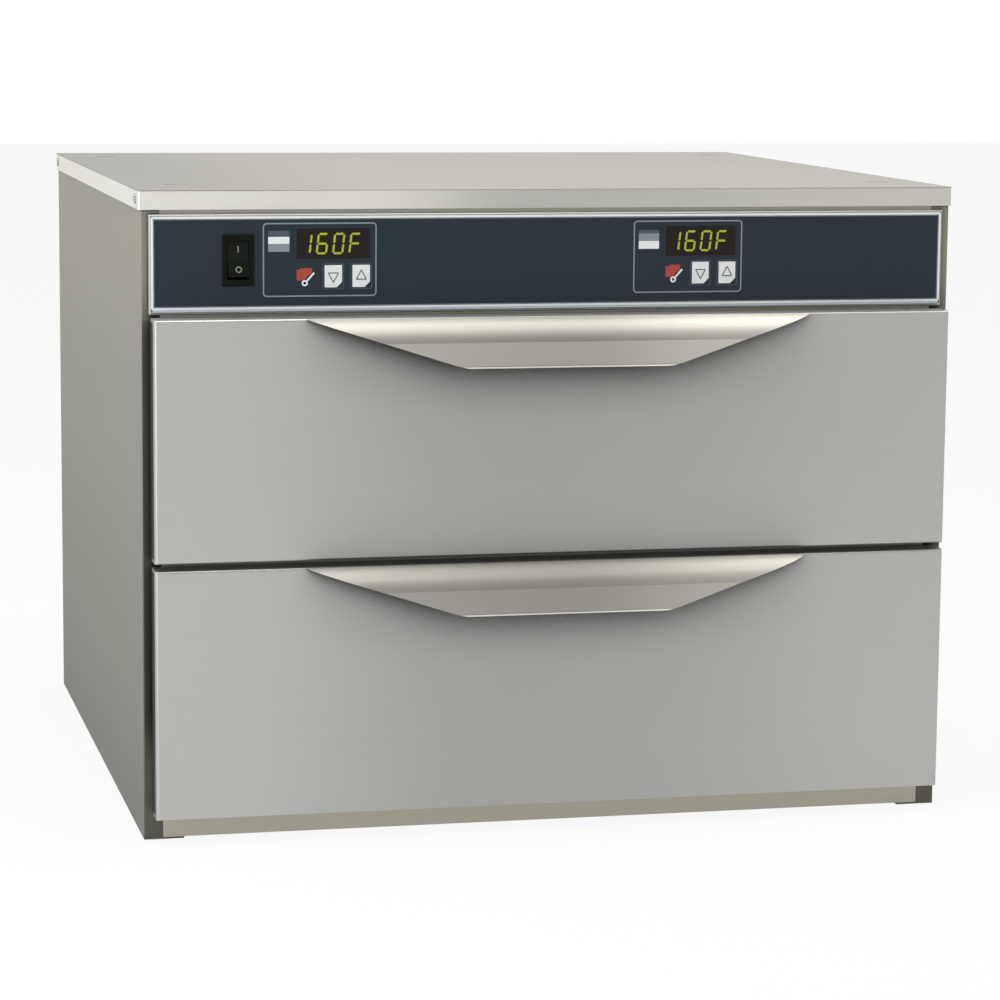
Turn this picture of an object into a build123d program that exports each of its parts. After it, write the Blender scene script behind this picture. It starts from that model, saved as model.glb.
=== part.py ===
"""Countertop warming drawer with two drawers, each carrying one full-size food pan.

Millimetres. X is to the right seen from the front, +Y runs to the back, +Z is up. The origin is at the
middle of the bounding box on the floor. The cabinet is sized from the inside out: from the pan, through
the carrier, the slides, the liner and the insulation, to the casing.
"""
from build123d import *
import math
import os

# ---- Pan, with its long side across the drawer
PAN_LENGTH = 530.0
PAN_WIDTH = 325.0
PAN_DEPTH = 150.0
PAN_RIM = 11.0
PAN_RIM_LIFT = 3.0
PAN_SHEET = 0.8
PAN_CORNER = 28.0
PAN_DRAFT = 3.0
PAN_BOTTOM_RADIUS = 14.0
PAN_SEAT_CLEARANCE = 1.0
PAN_SIDE_ROOM = 10.1
PAN_FRONT_ROOM = 12.0

# ---- Pan carrier, a pressed tray that the pan hangs in
CARRIER_SHEET = 1.2
CARRIER_FLANGE = 50.0
ROOF_CLEARANCE = 8.0
UPPER_FLOOR_CLEARANCE = 5.4
LOWER_FLOOR_CLEARANCE = 12.8

# ---- Telescopic slides
SLIDE_LENGTH = 450.0
SLIDE_HEIGHT = 45.0
SLIDE_THICKNESS = 12.7
SLIDE_SHEET = 1.2
SLIDE_DROP = 28.0
SLIDE_SETBACK = 4.0
WEB_GAP = 0.3
BALL_DIAMETER = 4.0
BALL_PLAY = 0.1
BALLS_PER_ROW = 6
CAGE_SHEET = 0.6
CAGE_LIP = 1.0
CAGE_LENGTH = 120.0
POCKET_PLAY = 0.15

# ---- Liner, heating cable and insulation
LINER_SHEET = 1.0
LINER_CORNER = 12.0
LINER_REAR_ROOM = 16.0
CABLE_DIAMETER = 4.5
CABLE_WRAPS = 8
CABLE_END_MARGIN = 30.0
CABLE_TOP_MARGIN = 20.0
SIDE_PAD = 14.5
TOP_PAD = 12.0
REAR_PAD = 30.0
LAY_GAP = 0.3

# ---- Casing
CASE_SHEET = 1.2
COVER_FIT = 0.2
COVER_LIP = 14.5
COVER_REVEAL = 3.1
SEAM = 0.2
EDGE_RADIUS = 2.0
CORNER_SLOT = 0.5
FRONT_RETURN = 14.0
BACK_RETURN = 20.0
BASE_FLANGE = 30.0
BASE_REVEAL = 19.7
BASE_PAN_LIP = 12.0
FRAME_BORDER = 6.0
FRAME_FLANGE = 12.0
PAD_SETBACK = 2.0
SERVICE_DEPTH = 92.3
DECK_LIP = 15.0
COVER_HOLE_RADIUS = 8.5
COVER_HOLE_INSET_X = 36.5
COVER_HOLE_INSET_Y = 68.0
PLUG_CLEARANCE = 0.2
PLUG_THICKNESS = 1.0
PLUG_FLANGE = 2.5
COVER_SCREW_INSET = 17.0
VENT_SLOT_LENGTH = 30.0
VENT_SLOT_HEIGHT = 4.0
VENT_PITCH = 12.0
VENT_COLUMNS = 6
VENT_ROWS = 3

# ---- Drawer fronts
FRONT_INSET = 8.0
FRONT_THICKNESS = 22.0
FRONT_SHEET = 1.2
FRONT_LAP = 8.0
FRONT_GAP = 5.0
FASCIA_GAP = 1.8
GASKET_THICKNESS = 2.3
GASKET_GAP = 0.3
GASKET_WIDTH = 6.0
GASKET_INSET = 1.5

# ---- Handles, a rounded bead with a flared flange below it
HANDLE_SHEET = 1.5
HANDLE_TOP_OFFSET = 0.5
HANDLE_BEAD_REACH = 20.0
HANDLE_BEAD_DROP = 17.0
HANDLE_FLARE = 27.0
HANDLE_REACH = 28.5
HANDLE_HEM = 7.0
HANDLE_HEM_SHEET = 1.2
HANDLE_TOP_HALF = 194.0
HANDLE_LIP_HALF = 78.5
HANDLE_CORNER = 80.0
HANDLE_BACK_FLANGE = 15.0

# ---- Control fascia
FASCIA_INSET = 6.85
FASCIA_HEIGHT = 73.7
FASCIA_PROUD = 2.7
CONTROL_RISE = 2.9
OVERLAY_THICKNESS = 0.4
OVERLAY_INSET = 0.9
SWITCH_INSET = 72.7
SWITCH_WIDTH = 23.5
SWITCH_HEIGHT = 38.3
SWITCH_BEZEL = 1.5
SWITCH_LEDGE = 1.6
SWITCH_BODY_DEPTH = 28.0
SWITCH_CAVITY_DEPTH = 15.0
ROCKER_WIDTH = 15.4
ROCKER_HALF_HEIGHT = 13.0
ROCKER_PLAY = 0.4
ROCKER_CROWN = 5.0
ROCKER_DIP = 3.0
ROCKER_TAIL = 3.0
ROCKER_PIVOT_DEPTH = 3.4
ROCKER_PIN_RADIUS = 1.5
ROCKER_PIN_CLEARANCE = 0.05
ROCKER_TILT = 11.0
MODULE_INSETS = (133.5, 210.0)
MODULE_WIDTH = 85.0
DISPLAY_LEFT = 25.5
DISPLAY_WIDTH = 53.9
DISPLAY_HEIGHT = 21.7
DISPLAY_RISE = 11.8
KEY_LEFT = (46.0, 66.9)
KEY_WIDTH = 13.0
KEY_HEIGHT = 16.3
KEY_DROP = 12.3
KEY_CUT = 4.0
KEY_PROUD = 0.5
KEY_TRAVEL = 0.8
KEY_FLANGE = 0.8
KEY_FLANGE_BORDER = 1.0
KEY_CLEARANCE = 0.25
KEY_PLAY = 0.1
LAMP_LEFT = 28.0
LAMP_WIDTH = 8.5
LAMP_HEIGHT = 5.0
LAMP_DROP = 8.6
CASE_BORDER = 2.0
POST_RADIUS = 1.5
CONTROLLER_HEIGHT = 50.0
CONTROLLER_DEPTH = 38.0
CONTROL_OPENING_BORDER = 9.0
CONTROL_OPENING_SIDE = 20.0

# ---- Electrical parts on the deck and the back
TRANSFORMER_INSET = 162.5
TRANSFORMER_SETBACK = 250.0
TRANSFORMER_WIDTH = 56.0
TRANSFORMER_DEPTH = 46.0
TRANSFORMER_HEIGHT = 44.0
TRANSFORMER_EAR = 9.3
CORE_INSET = 9.2
COIL_INSET = 11.2
COIL_END = 8.8
COIL_RADIUS = 5.8
TERMINAL_BLOCK_INSET = 122.5
TERMINAL_BLOCK_LENGTH = 80.0
TERMINAL_BLOCK_DEPTH = 22.0
TERMINAL_BLOCK_HEIGHT = 20.0
TERMINAL_BASE_HEIGHT = 10.0
TERMINAL_BLOCK_WAYS = 6
TERMINAL_BLOCK_SETBACK = 60.0
GLAND_INSET = 67.5
GLAND_RISE = 34.0
GLAND_PROUD = 14.0
GLAND_RADIUS = 13.0
GLAND_BODY_RADIUS = 9.9
GLAND_BORE_RADIUS = 4.5
GLAND_TAIL = 14.0
GLAND_DOME = 3.3
LOCK_NUT = 4.7
GLAND_CLEARANCE = 0.1
SENSOR_RADIUS = 3.0
SENSOR_REACH = 11.0
SENSOR_TAIL = 20.0
SENSOR_INSET = 169.0
SENSOR_DROP = 30.0
THERMOSTAT_RADIUS = 9.0
THERMOSTAT_HEIGHT = 12.0
THERMOSTAT_CUP = 8.0
BLADE_THICKNESS = 1.5
BLADE_WIDTH = 6.0
HOLE_CLEARANCE = 0.3

# ---- Screws
SCREW_RADIUS = 2.0
SCREW_HEAD_RADIUS = 3.8
SCREW_HEAD_HEIGHT = 1.2
SCREW_RECESS = 0.6
SCREW_CLEARANCE = 0.1

# ================================================================ places worked out from the sizes
# Across: half widths from the middle plane outwards
carrier_half = PAN_LENGTH / 2 + PAN_SIDE_ROOM + CARRIER_SHEET
liner_half = carrier_half + SLIDE_THICKNESS
liner_outer = liner_half + LINER_SHEET
cable_outer = liner_outer + LAY_GAP + CABLE_DIAMETER
case_inner = cable_outer + LAY_GAP + SIDE_PAD + LAY_GAP
case_outer = case_inner + CASE_SHEET
cover_half = case_outer + COVER_FIT + CASE_SHEET
return_edge = case_outer - FRONT_RETURN
front_half = cover_half - FRONT_INSET
fascia_half = cover_half - FASCIA_INSET
switch_x = SWITCH_INSET - cover_half
module_x = (MODULE_INSETS[0] - cover_half, cover_half - MODULE_INSETS[1])
transformer_x = cover_half - TRANSFORMER_INSET
terminal_block_x = cover_half - TERMINAL_BLOCK_INSET
gland_x = cover_half - GLAND_INSET
sensor_x = liner_half - SENSOR_INSET
thermostat_x = -sensor_x

# Upwards from the floor
lower_front_bottom = BASE_REVEAL
lower_front_top = lower_front_bottom + 2 * FRONT_LAP + LOWER_FLOOR_CLEARANCE + PAN_DEPTH + ROOF_CLEARANCE
upper_front_bottom = lower_front_top + FRONT_GAP
upper_front_top = upper_front_bottom + 2 * FRONT_LAP + UPPER_FLOOR_CLEARANCE + PAN_DEPTH + ROOF_CLEARANCE
fascia_bottom = upper_front_top + FASCIA_GAP
fascia_top = fascia_bottom + FASCIA_HEIGHT
cabinet_height = fascia_top + COVER_REVEAL + COVER_LIP
cover_under = cabinet_height - CASE_SHEET
deck_bottom = upper_front_top - FRONT_LAP + LINER_SHEET + LAY_GAP + TOP_PAD + LAY_GAP
deck_top = deck_bottom + CASE_SHEET
base_pan_top = 2 * CASE_SHEET
control_z = (fascia_bottom + fascia_top) / 2 + CONTROL_RISE
rail_bottom = CASE_SHEET + SEAM
rail_top = lower_front_bottom + FRONT_LAP - FRAME_BORDER

# Backwards, counted from the cover's front plane, then moved to the part's own frame
frame_face = CASE_SHEET + COVER_FIT
frame_back = frame_face + CASE_SHEET
front_back = frame_face - GASKET_GAP - GASKET_THICKNESS
front_face = front_back - FRONT_THICKNESS
slide_front = frame_back + SLIDE_SETBACK
slide_back = slide_front + SLIDE_LENGTH
liner_inner_back = slide_back + LINER_REAR_ROOM
liner_back = liner_inner_back + LINER_SHEET
pad_front = frame_back + FRAME_FLANGE + PAD_SETBACK
rear_pad_front = liner_back + LAY_GAP
rear_pad_back = rear_pad_front + REAR_PAD
back_return_front = rear_pad_back + SERVICE_DEPTH
back_panel_front = back_return_front + CASE_SHEET
back_panel_back = back_panel_front + CASE_SHEET
cabinet_depth = back_panel_back + COVER_FIT + CASE_SHEET
fascia_face = frame_face - FASCIA_PROUD
overlay_face = fascia_face - OVERLAY_THICKNESS
fascia_inner = fascia_face + CASE_SHEET
controller_front = fascia_inner + KEY_PLAY + KEY_FLANGE + KEY_TRAVEL + LAY_GAP
y_shift = (HANDLE_REACH - front_face - cabinet_depth - GLAND_PROUD) / 2
drawers = {
    "upper": (upper_front_bottom, upper_front_top),
    "lower": (lower_front_bottom, lower_front_top),
}


# ================================================================ helpers
def slab(x, y, z):
    """A block given by its low and high value on each axis."""
    size = [high - low for low, high in (x, y, z)]
    centre = [(high + low) / 2 for low, high in (x, y, z)]
    return Pos(*centre) * Box(*size)


def rod_x(x, y, z, radius):
    """A round bar along X between two values of x."""
    return Pos((x[0] + x[1]) / 2, y, z) * Rot(0, 90, 0) * Cylinder(radius, x[1] - x[0])


def rod_y(x, y, z, radius):
    """A round bar along Y between two values of y."""
    return Pos(x, (y[0] + y[1]) / 2, z) * Rot(90, 0, 0) * Cylinder(radius, y[1] - y[0])


def joined(pieces):
    """One part out of a list of pieces."""
    total = pieces[0]
    for piece in pieces[1:]:
        total += piece
    return total


def both_sides(left):
    """A piece and its mirror image across the middle plane, as separate solids."""
    return Compound([left, mirror(left, Plane.YZ)])


def rounded_front(x, y, z, radius):
    """A block whose front face, at its low y, has rounded edges all round."""
    block = slab(x, y, z)
    return fillet(block.faces().sort_by(Axis.Y)[0].edges(), radius)


def rounded_block(x, y, z, radius):
    """A block whose four edges along Y are rounded."""
    return fillet(slab(x, y, z).edges().filter_by(Axis.Y), radius)


def screw(place, length):
    """A pan-head screw: the head stands out along the plane's normal, the shank goes the other way."""
    head = Pos(0, 0, SCREW_HEAD_HEIGHT / 2) * Cylinder(SCREW_HEAD_RADIUS, SCREW_HEAD_HEIGHT)
    head = fillet(head.edges().sort_by(Axis.Z)[-1], SCREW_HEAD_HEIGHT / 2)
    bar = (SCREW_HEAD_RADIUS, SCREW_RECESS, 2 * SCREW_RECESS)
    recess = Box(bar[0], bar[1], bar[2]) + Box(bar[1], bar[0], bar[2])
    shank = Pos(0, 0, -length / 2) * Cylinder(SCREW_RADIUS, length)
    return place * (head + shank - Pos(0, 0, SCREW_HEAD_HEIGHT) * recess)


def screw_hole(place, length):
    """The clearance hole for a screw's shank."""
    return place * Pos(0, 0, -length / 2) * Cylinder(SCREW_RADIUS + SCREW_CLEARANCE, length + SEAM)


def cut_screw_holes(piece, places, length):
    """The piece with a clearance hole at each of the places."""
    for place in places:
        piece -= screw_hole(place, length)
    return piece


# ================================================================ screw places
def cover_screw_places():
    """Two screws in each side flange of the cover."""
    height = cabinet_height - COVER_LIP / 2
    rows = (COVER_SCREW_INSET, cabinet_depth - COVER_SCREW_INSET)
    return [
        Plane((side * cover_half, y, height), x_dir=(0, 1, 0), z_dir=(side, 0, 0))
        for side in (-1, 1)
        for y in rows
    ]


def back_screw_places():
    """Three screws down each side of the back panel."""
    x = case_inner - BACK_RETURN / 2
    top = cover_under - COVER_LIP - BACK_RETURN
    heights = [BASE_FLANGE, (BASE_FLANGE + top) / 2, top]
    return [
        Plane((side * x, back_panel_back, z), x_dir=(1, 0, 0), z_dir=(0, 1, 0))
        for side in (-1, 1)
        for z in heights
    ]


def cable_rows():
    """The y of each wrap of the heating cable round a liner."""
    first = frame_back + CABLE_END_MARGIN
    last = liner_back - CABLE_END_MARGIN
    return [first + (last - first) * i / (CABLE_WRAPS - 1) for i in range(CABLE_WRAPS)]


def slide_screw_rows():
    """Screw rows along a slide, each midway between two wraps of the cable."""
    rows = cable_rows()
    gaps = (0, CABLE_WRAPS // 2 - 1, CABLE_WRAPS - 2)
    return [(rows[i] + rows[i + 1]) / 2 for i in gaps]


def slide_z(top):
    """Height of a slide's middle line, for the drawer whose front ends at this height."""
    return top - FRONT_LAP - ROOF_CLEARANCE - SLIDE_DROP


def outer_slide_screw_places(top):
    """Screws from outside the liner into the outer slide members."""
    return [
        Plane((side * liner_outer, y, slide_z(top)), x_dir=(0, 1, 0), z_dir=(side, 0, 0))
        for side in (-1, 1)
        for y in slide_screw_rows()
    ]


def inner_slide_screw_places(top):
    """Screws from inside the inner slide members into the carrier."""
    x = carrier_half + SLIDE_SHEET
    return [
        Plane((side * x, y, slide_z(top)), x_dir=(0, 1, 0), z_dir=(side, 0, 0))
        for side in (-1, 1)
        for y in slide_screw_rows()
    ]


def carrier_screw_places(top):
    """Screws from the carrier's front flange into the drawer front's inner panel."""
    z = top - FRONT_LAP - ROOF_CLEARANCE - CARRIER_FLANGE / 2
    y = front_back + CARRIER_SHEET
    spread = (carrier_half - BACK_RETURN, carrier_half / 3)
    return [
        Plane((side * x, y, z), x_dir=(1, 0, 0), z_dir=(0, 1, 0))
        for side in (-1, 1)
        for x in spread
    ]


# ================================================================ casing
def cover_hole_places():
    x = cover_half - COVER_HOLE_INSET_X
    rows = (COVER_HOLE_INSET_Y, cabinet_depth - COVER_HOLE_INSET_Y)
    return [(side * x, y) for side in (-1, 1) for y in rows]


def top_cover():
    """Flat top with a flange turned down on all four sides."""
    outer = slab((-cover_half, cover_half), (0, cabinet_depth), (cabinet_height - COVER_LIP, cabinet_height))
    outer = fillet(outer.edges().filter_by(Axis.Z), EDGE_RADIUS / 2)
    outer = fillet(outer.faces().sort_by(Axis.Z)[-1].edges(), EDGE_RADIUS / 4)
    inner_x = (-cover_half + CASE_SHEET, cover_half - CASE_SHEET)
    inner_y = (CASE_SHEET, cabinet_depth - CASE_SHEET)
    cover = outer - slab(inner_x, inner_y, (0, cover_under))
    for x, y in cover_hole_places():
        cover -= Pos(x, y, cabinet_height) * Cylinder(COVER_HOLE_RADIUS, 4 * CASE_SHEET)
    # The side flanges stop short of the front and back ones, which leaves a slot at each corner
    slot_x = (-2 * cover_half, 2 * cover_half)
    slot_z = (0, cabinet_height - EDGE_RADIUS)
    for y in (CASE_SHEET, cabinet_depth - CASE_SHEET - CORNER_SLOT):
        cover -= slab(slot_x, (y, y + CORNER_SLOT), slot_z)
    return cut_screw_holes(cover, cover_screw_places(), CASE_SHEET)


def cover_hole_plugs():
    """Plugs pressed up from below into the cover's four corner holes, flush with its top."""
    plugs = []
    for x, y in cover_hole_places():
        disc = Cylinder(COVER_HOLE_RADIUS - PLUG_CLEARANCE, CASE_SHEET)
        flange = Cylinder(COVER_HOLE_RADIUS + PLUG_FLANGE, PLUG_THICKNESS)
        disc = Pos(0, 0, cabinet_height - CASE_SHEET / 2 - PLUG_CLEARANCE) * disc
        flange = Pos(0, 0, cover_under - PLUG_THICKNESS / 2) * flange
        plugs.append(Pos(x, y, 0) * (disc + flange))
    return Compound(plugs)


def side_panel(side):
    """Side panel with front and back returns and a flange turned in at the floor."""
    y = (frame_face, back_panel_back)
    z = (0, cover_under)
    plate = slab((-case_outer, -case_inner), y, z)
    front = slab((-case_outer, -return_edge), (frame_face, frame_back), z)
    back = slab((-case_outer, -case_inner + BACK_RETURN), (back_return_front, back_panel_front), z)
    base = slab((-case_outer, -case_outer + BASE_FLANGE), (frame_face, back_panel_front), (0, CASE_SHEET))
    panel = joined([plate, front, back, base])
    upright = panel.edges().filter_by(Axis.Z).group_by(Axis.Y)
    panel = fillet([rank.sort_by(Axis.X)[0] for rank in (upright[0], upright[-1])], EDGE_RADIUS / 2)
    if side > 0:
        panel = mirror(panel, Plane.YZ)
    cover_places = [place.offset(-CASE_SHEET - COVER_FIT) for place in cover_screw_places()]
    panel = cut_screw_holes(panel, cover_places, CASE_SHEET)
    back_places = [place.offset(-CASE_SHEET) for place in back_screw_places()]
    return cut_screw_holes(panel, back_places, CASE_SHEET)


def back_panel():
    """Back panel between the side panels, with rows of air slots high and low."""
    half = case_inner - SEAM
    panel = slab((-half, half), (back_panel_front, back_panel_back), (CASE_SHEET + SEAM, cover_under - SEAM))
    column_pitch = VENT_SLOT_LENGTH + VENT_PITCH
    first = -column_pitch * (VENT_COLUMNS - 1) / 2
    low_row = base_pan_top + BASE_PAN_LIP + 2 * VENT_PITCH
    high_row = deck_top + 2 * VENT_PITCH
    for row in range(VENT_ROWS):
        for column in range(VENT_COLUMNS):
            for start in (low_row, high_row):
                x = first + column * column_pitch
                z = start + row * VENT_PITCH
                slot = SlotOverall(VENT_SLOT_LENGTH, VENT_SLOT_HEIGHT)
                tool = extrude(Plane.XZ * slot, 2 * CASE_SHEET, both=True)
                panel -= Pos(x, back_panel_back, z) * tool
    panel -= rod_y(gland_x, (back_panel_front - SEAM, back_panel_back + SEAM), deck_top + GLAND_RISE,
                   GLAND_BODY_RADIUS + GLAND_CLEARANCE)
    return cut_screw_holes(panel, back_screw_places(), CASE_SHEET)


def base_pan():
    """Floor of the casing, laid on the side panels' bottom flanges, with lips front and back."""
    half = case_inner - SEAM
    front = frame_back + SEAM
    back = back_return_front - SEAM
    floor = slab((-half, half), (front, back), (CASE_SHEET, base_pan_top))
    lip_z = (CASE_SHEET, base_pan_top + BASE_PAN_LIP)
    front_lip = slab((-half, half), (front, front + CASE_SHEET), lip_z)
    back_lip = slab((-half, half), (back - CASE_SHEET, back), lip_z)
    return joined([floor, front_lip, back_lip])


def front_frame():
    """Flat frame round both cavities and the control opening, flanged back at its sides and top."""
    half = return_edge - SEAM
    top = cover_under - SEAM
    frame = slab((-half, half), (frame_face, frame_back), (rail_top, top))
    for bottom_edge, top_edge in drawers.values():
        opening_z = (bottom_edge + FRONT_LAP, top_edge - FRONT_LAP)
        opening = rounded_block((-liner_half, liner_half), (0, frame_back + SEAM), opening_z,
                                LINER_CORNER - LINER_SHEET)
        frame -= opening
    control_z_range = (fascia_bottom + CONTROL_OPENING_BORDER, fascia_top - CONTROL_OPENING_BORDER / 2)
    control_half = half - CONTROL_OPENING_SIDE
    frame -= slab((-control_half, control_half), (0, frame_back + SEAM), control_z_range)
    flange_y = (frame_back, frame_back + FRAME_FLANGE)
    frame += slab((-half, -half + CASE_SHEET), flange_y, (rail_top, top))
    frame += slab((half - CASE_SHEET, half), flange_y, (rail_top, top))
    return frame + slab((-half, half), flange_y, (top - CASE_SHEET, top))


def bottom_front_rail():
    """Rail under the lower drawer, between the side panels' returns and just above their flanges."""
    half = return_edge - SEAM
    z = (rail_bottom, rail_top - SEAM)
    face = slab((-half, half), (frame_face, frame_back), z)
    tongue = slab((-half, half), (frame_back, frame_back + FRAME_FLANGE), (z[1] - CASE_SHEET, z[1]))
    return face + tongue


def component_deck():
    """Deck over the upper insulation that carries the electrical parts, with lips up its sides."""
    half = case_inner - LAY_GAP
    y = (pad_front, back_return_front - LAY_GAP)
    plate = slab((-half, half), y, (deck_bottom, deck_top))
    lip = slab((-half, -half + CASE_SHEET), y, (deck_bottom, deck_top + DECK_LIP))
    return joined([plate, lip, mirror(lip, Plane.YZ)])


def cabinet_screws():
    """Screws of the cover, the back panel and the outer slide members."""
    screws = [screw(place, 2 * CASE_SHEET + COVER_FIT) for place in cover_screw_places()]
    screws += [screw(place, 2 * CASE_SHEET) for place in back_screw_places()]
    for bottom, top in drawers.values():
        screws += [screw(place, LINER_SHEET + SLIDE_SHEET) for place in outer_slide_screw_places(top)]
    return Compound(screws)


# ================================================================ cavities
def cavity_liner(bottom, top):
    """Liner of one cavity: a box open at the front, with coved corners along its length."""
    z = (bottom + FRONT_LAP, top - FRONT_LAP)
    outer_z = (z[0] - LINER_SHEET, z[1] + LINER_SHEET)
    outer = rounded_block((-liner_outer, liner_outer), (frame_back, liner_back), outer_z, LINER_CORNER)
    inner = rounded_block((-liner_half, liner_half), (frame_back - SEAM, liner_inner_back), z,
                          LINER_CORNER - LINER_SHEET)
    liner = outer - inner
    liner -= rod_y(sensor_x, (liner_inner_back - SEAM, liner_back + SEAM), z[1] - SENSOR_DROP,
                   SENSOR_RADIUS + SCREW_CLEARANCE)
    return cut_screw_holes(liner, outer_slide_screw_places(top), LINER_SHEET)


def heating_cable(bottom, top):
    """Heating cable wrapped under a liner and up both its sides, to and fro along its depth."""
    x = liner_outer + LAY_GAP + CABLE_DIAMETER / 2
    low = bottom + FRONT_LAP - LINER_SHEET - LAY_GAP - CABLE_DIAMETER / 2
    high = top - FRONT_LAP - CABLE_TOP_MARGIN
    points = []
    side = -1
    for y in cable_rows():
        points += [(side * x, y, high), (side * x, y, low), (-side * x, y, low), (-side * x, y, high)]
        side = -side
    bend = LINER_CORNER + LAY_GAP + CABLE_DIAMETER / 2
    path = FilletPolyline(*points, radius=bend)
    section = Plane(origin=path @ 0, z_dir=path % 0) * Circle(CABLE_DIAMETER / 2)
    return sweep(section, path)


def side_insulation_pads():
    x = (-case_inner + LAY_GAP, -cable_outer - LAY_GAP)
    z = (base_pan_top + LAY_GAP, deck_bottom - LAY_GAP)
    return both_sides(slab(x, (pad_front, liner_back), z))


def level_insulation_pads():
    """Pads over the upper cavity, between the cavities and under the lower one."""
    under_cable = LINER_SHEET + LAY_GAP + CABLE_DIAMETER + LAY_GAP
    roof = LINER_SHEET + LAY_GAP
    levels = [
        (upper_front_top - FRONT_LAP + roof, deck_bottom - LAY_GAP),
        (lower_front_top - FRONT_LAP + roof, upper_front_bottom + FRONT_LAP - under_cable),
        (base_pan_top + LAY_GAP, lower_front_bottom + FRONT_LAP - under_cable),
    ]
    return Compound([slab((-cable_outer, cable_outer), (pad_front, liner_back), z) for z in levels])


def rear_insulation_pad():
    """Pad behind both liners, with holes for the sensors and thermostats."""
    half = case_inner - LAY_GAP
    z_range = (base_pan_top + LAY_GAP, deck_bottom - LAY_GAP)
    pad = slab((-half, half), (rear_pad_front, rear_pad_back), z_range)
    through = (rear_pad_front - SEAM, rear_pad_back + SEAM)
    for bottom, top in drawers.values():
        z = top - FRONT_LAP - SENSOR_DROP
        pad -= rod_y(sensor_x, through, z, 2 * SENSOR_RADIUS + HOLE_CLEARANCE)
        pad -= rod_y(thermostat_x, through, z, THERMOSTAT_RADIUS + HOLE_CLEARANCE)
    return pad


def temperature_sensors():
    """A probe through the back of each liner, with its collar seated on the outside."""
    probes = []
    for bottom, top in drawers.values():
        z = top - FRONT_LAP - SENSOR_DROP
        stem = rod_y(sensor_x, (liner_inner_back - SENSOR_REACH, liner_back + SENSOR_TAIL), z, SENSOR_RADIUS)
        collar = rod_y(sensor_x, (liner_back, liner_back + SENSOR_RADIUS), z, 2 * SENSOR_RADIUS)
        probes.append(stem + collar)
    return Compound(probes)


def limit_thermostats():
    """A disc thermostat seated on the back of each liner, with two blade terminals."""
    discs = []
    for bottom, top in drawers.values():
        z = top - FRONT_LAP - SENSOR_DROP
        cup_back = liner_back + THERMOSTAT_CUP
        disc = rod_y(thermostat_x, (liner_back, cup_back), z, THERMOSTAT_RADIUS)
        for side in (-1, 1):
            x = thermostat_x + side * THERMOSTAT_RADIUS / 2
            blade_x = (x - BLADE_THICKNESS / 2, x + BLADE_THICKNESS / 2)
            blade_y = (cup_back, liner_back + THERMOSTAT_HEIGHT)
            disc += slab(blade_x, blade_y, (z - BLADE_WIDTH / 2, z + BLADE_WIDTH / 2))
        discs.append(disc)
    return Compound(discs)


# ================================================================ slides
def slide_x(depth):
    """The x on the left side that lies this deep into a slide, counted from the liner."""
    return -liner_half + depth


def channel(web, lip_end, half_height, sheet, lip, y):
    """A C-shaped channel on the left side: its web, then a lip above and below."""
    parts = [slab((slide_x(web), slide_x(web + sheet)), y, (-half_height, half_height))]
    for side in (-1, 1):
        edges = sorted((side * half_height, side * (half_height - lip)))
        parts.append(slab((slide_x(web), slide_x(lip_end)), y, edges))
    return joined(parts)


raceway_step = SLIDE_SHEET + BALL_DIAMETER + 2 * BALL_PLAY
outer_half_height = SLIDE_HEIGHT / 2
middle_half_height = outer_half_height - raceway_step
inner_half_height = middle_half_height - raceway_step
outer_cage_web = SLIDE_SHEET + WEB_GAP
middle_web = outer_cage_web + CAGE_SHEET + WEB_GAP
inner_cage_web = middle_web + SLIDE_SHEET + WEB_GAP
inner_lip_start = inner_cage_web + CAGE_SHEET + WEB_GAP
outer_lip_end = SLIDE_THICKNESS - SLIDE_SHEET - WEB_GAP
middle_lip_end = outer_lip_end - WEB_GAP
slide_y = (slide_front, slide_back)


def outer_slides(bottom, top):
    """Outer members, screwed to the liner, with curled lip edges."""
    member = channel(0, outer_lip_end, outer_half_height, SLIDE_SHEET, SLIDE_SHEET, slide_y)
    for side in (-1, 1):
        curl_top = outer_half_height - SLIDE_SHEET
        curl_z = sorted((side * curl_top, side * (curl_top - SLIDE_SHEET)))
        curl_x = (slide_x(outer_lip_end - SLIDE_SHEET), slide_x(outer_lip_end))
        member += slab(curl_x, slide_y, curl_z)
    pair = both_sides(Pos(0, 0, slide_z(top)) * member)
    places = [place.offset(-LINER_SHEET) for place in outer_slide_screw_places(top)]
    return Compound([cut_screw_holes(solid, places, SLIDE_SHEET) for solid in pair.solids()])


def middle_slides(bottom, top):
    member = channel(middle_web, middle_lip_end, middle_half_height, SLIDE_SHEET, SLIDE_SHEET, slide_y)
    return both_sides(Pos(0, 0, slide_z(top)) * member)


def inner_slides(bottom, top):
    """Inner members, screwed to the carrier, open towards the liner."""
    web = SLIDE_THICKNESS - SLIDE_SHEET
    web_x = (slide_x(web), slide_x(SLIDE_THICKNESS))
    parts = [slab(web_x, slide_y, (-inner_half_height, inner_half_height))]
    for side in (-1, 1):
        edges = sorted((side * inner_half_height, side * (inner_half_height - SLIDE_SHEET)))
        parts.append(slab((slide_x(inner_lip_start), slide_x(SLIDE_THICKNESS)), slide_y, edges))
    pair = both_sides(Pos(0, 0, slide_z(top)) * joined(parts))
    places = inner_slide_screw_places(top)
    return Compound([cut_screw_holes(solid, places, SLIDE_SHEET) for solid in pair.solids()])


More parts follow.
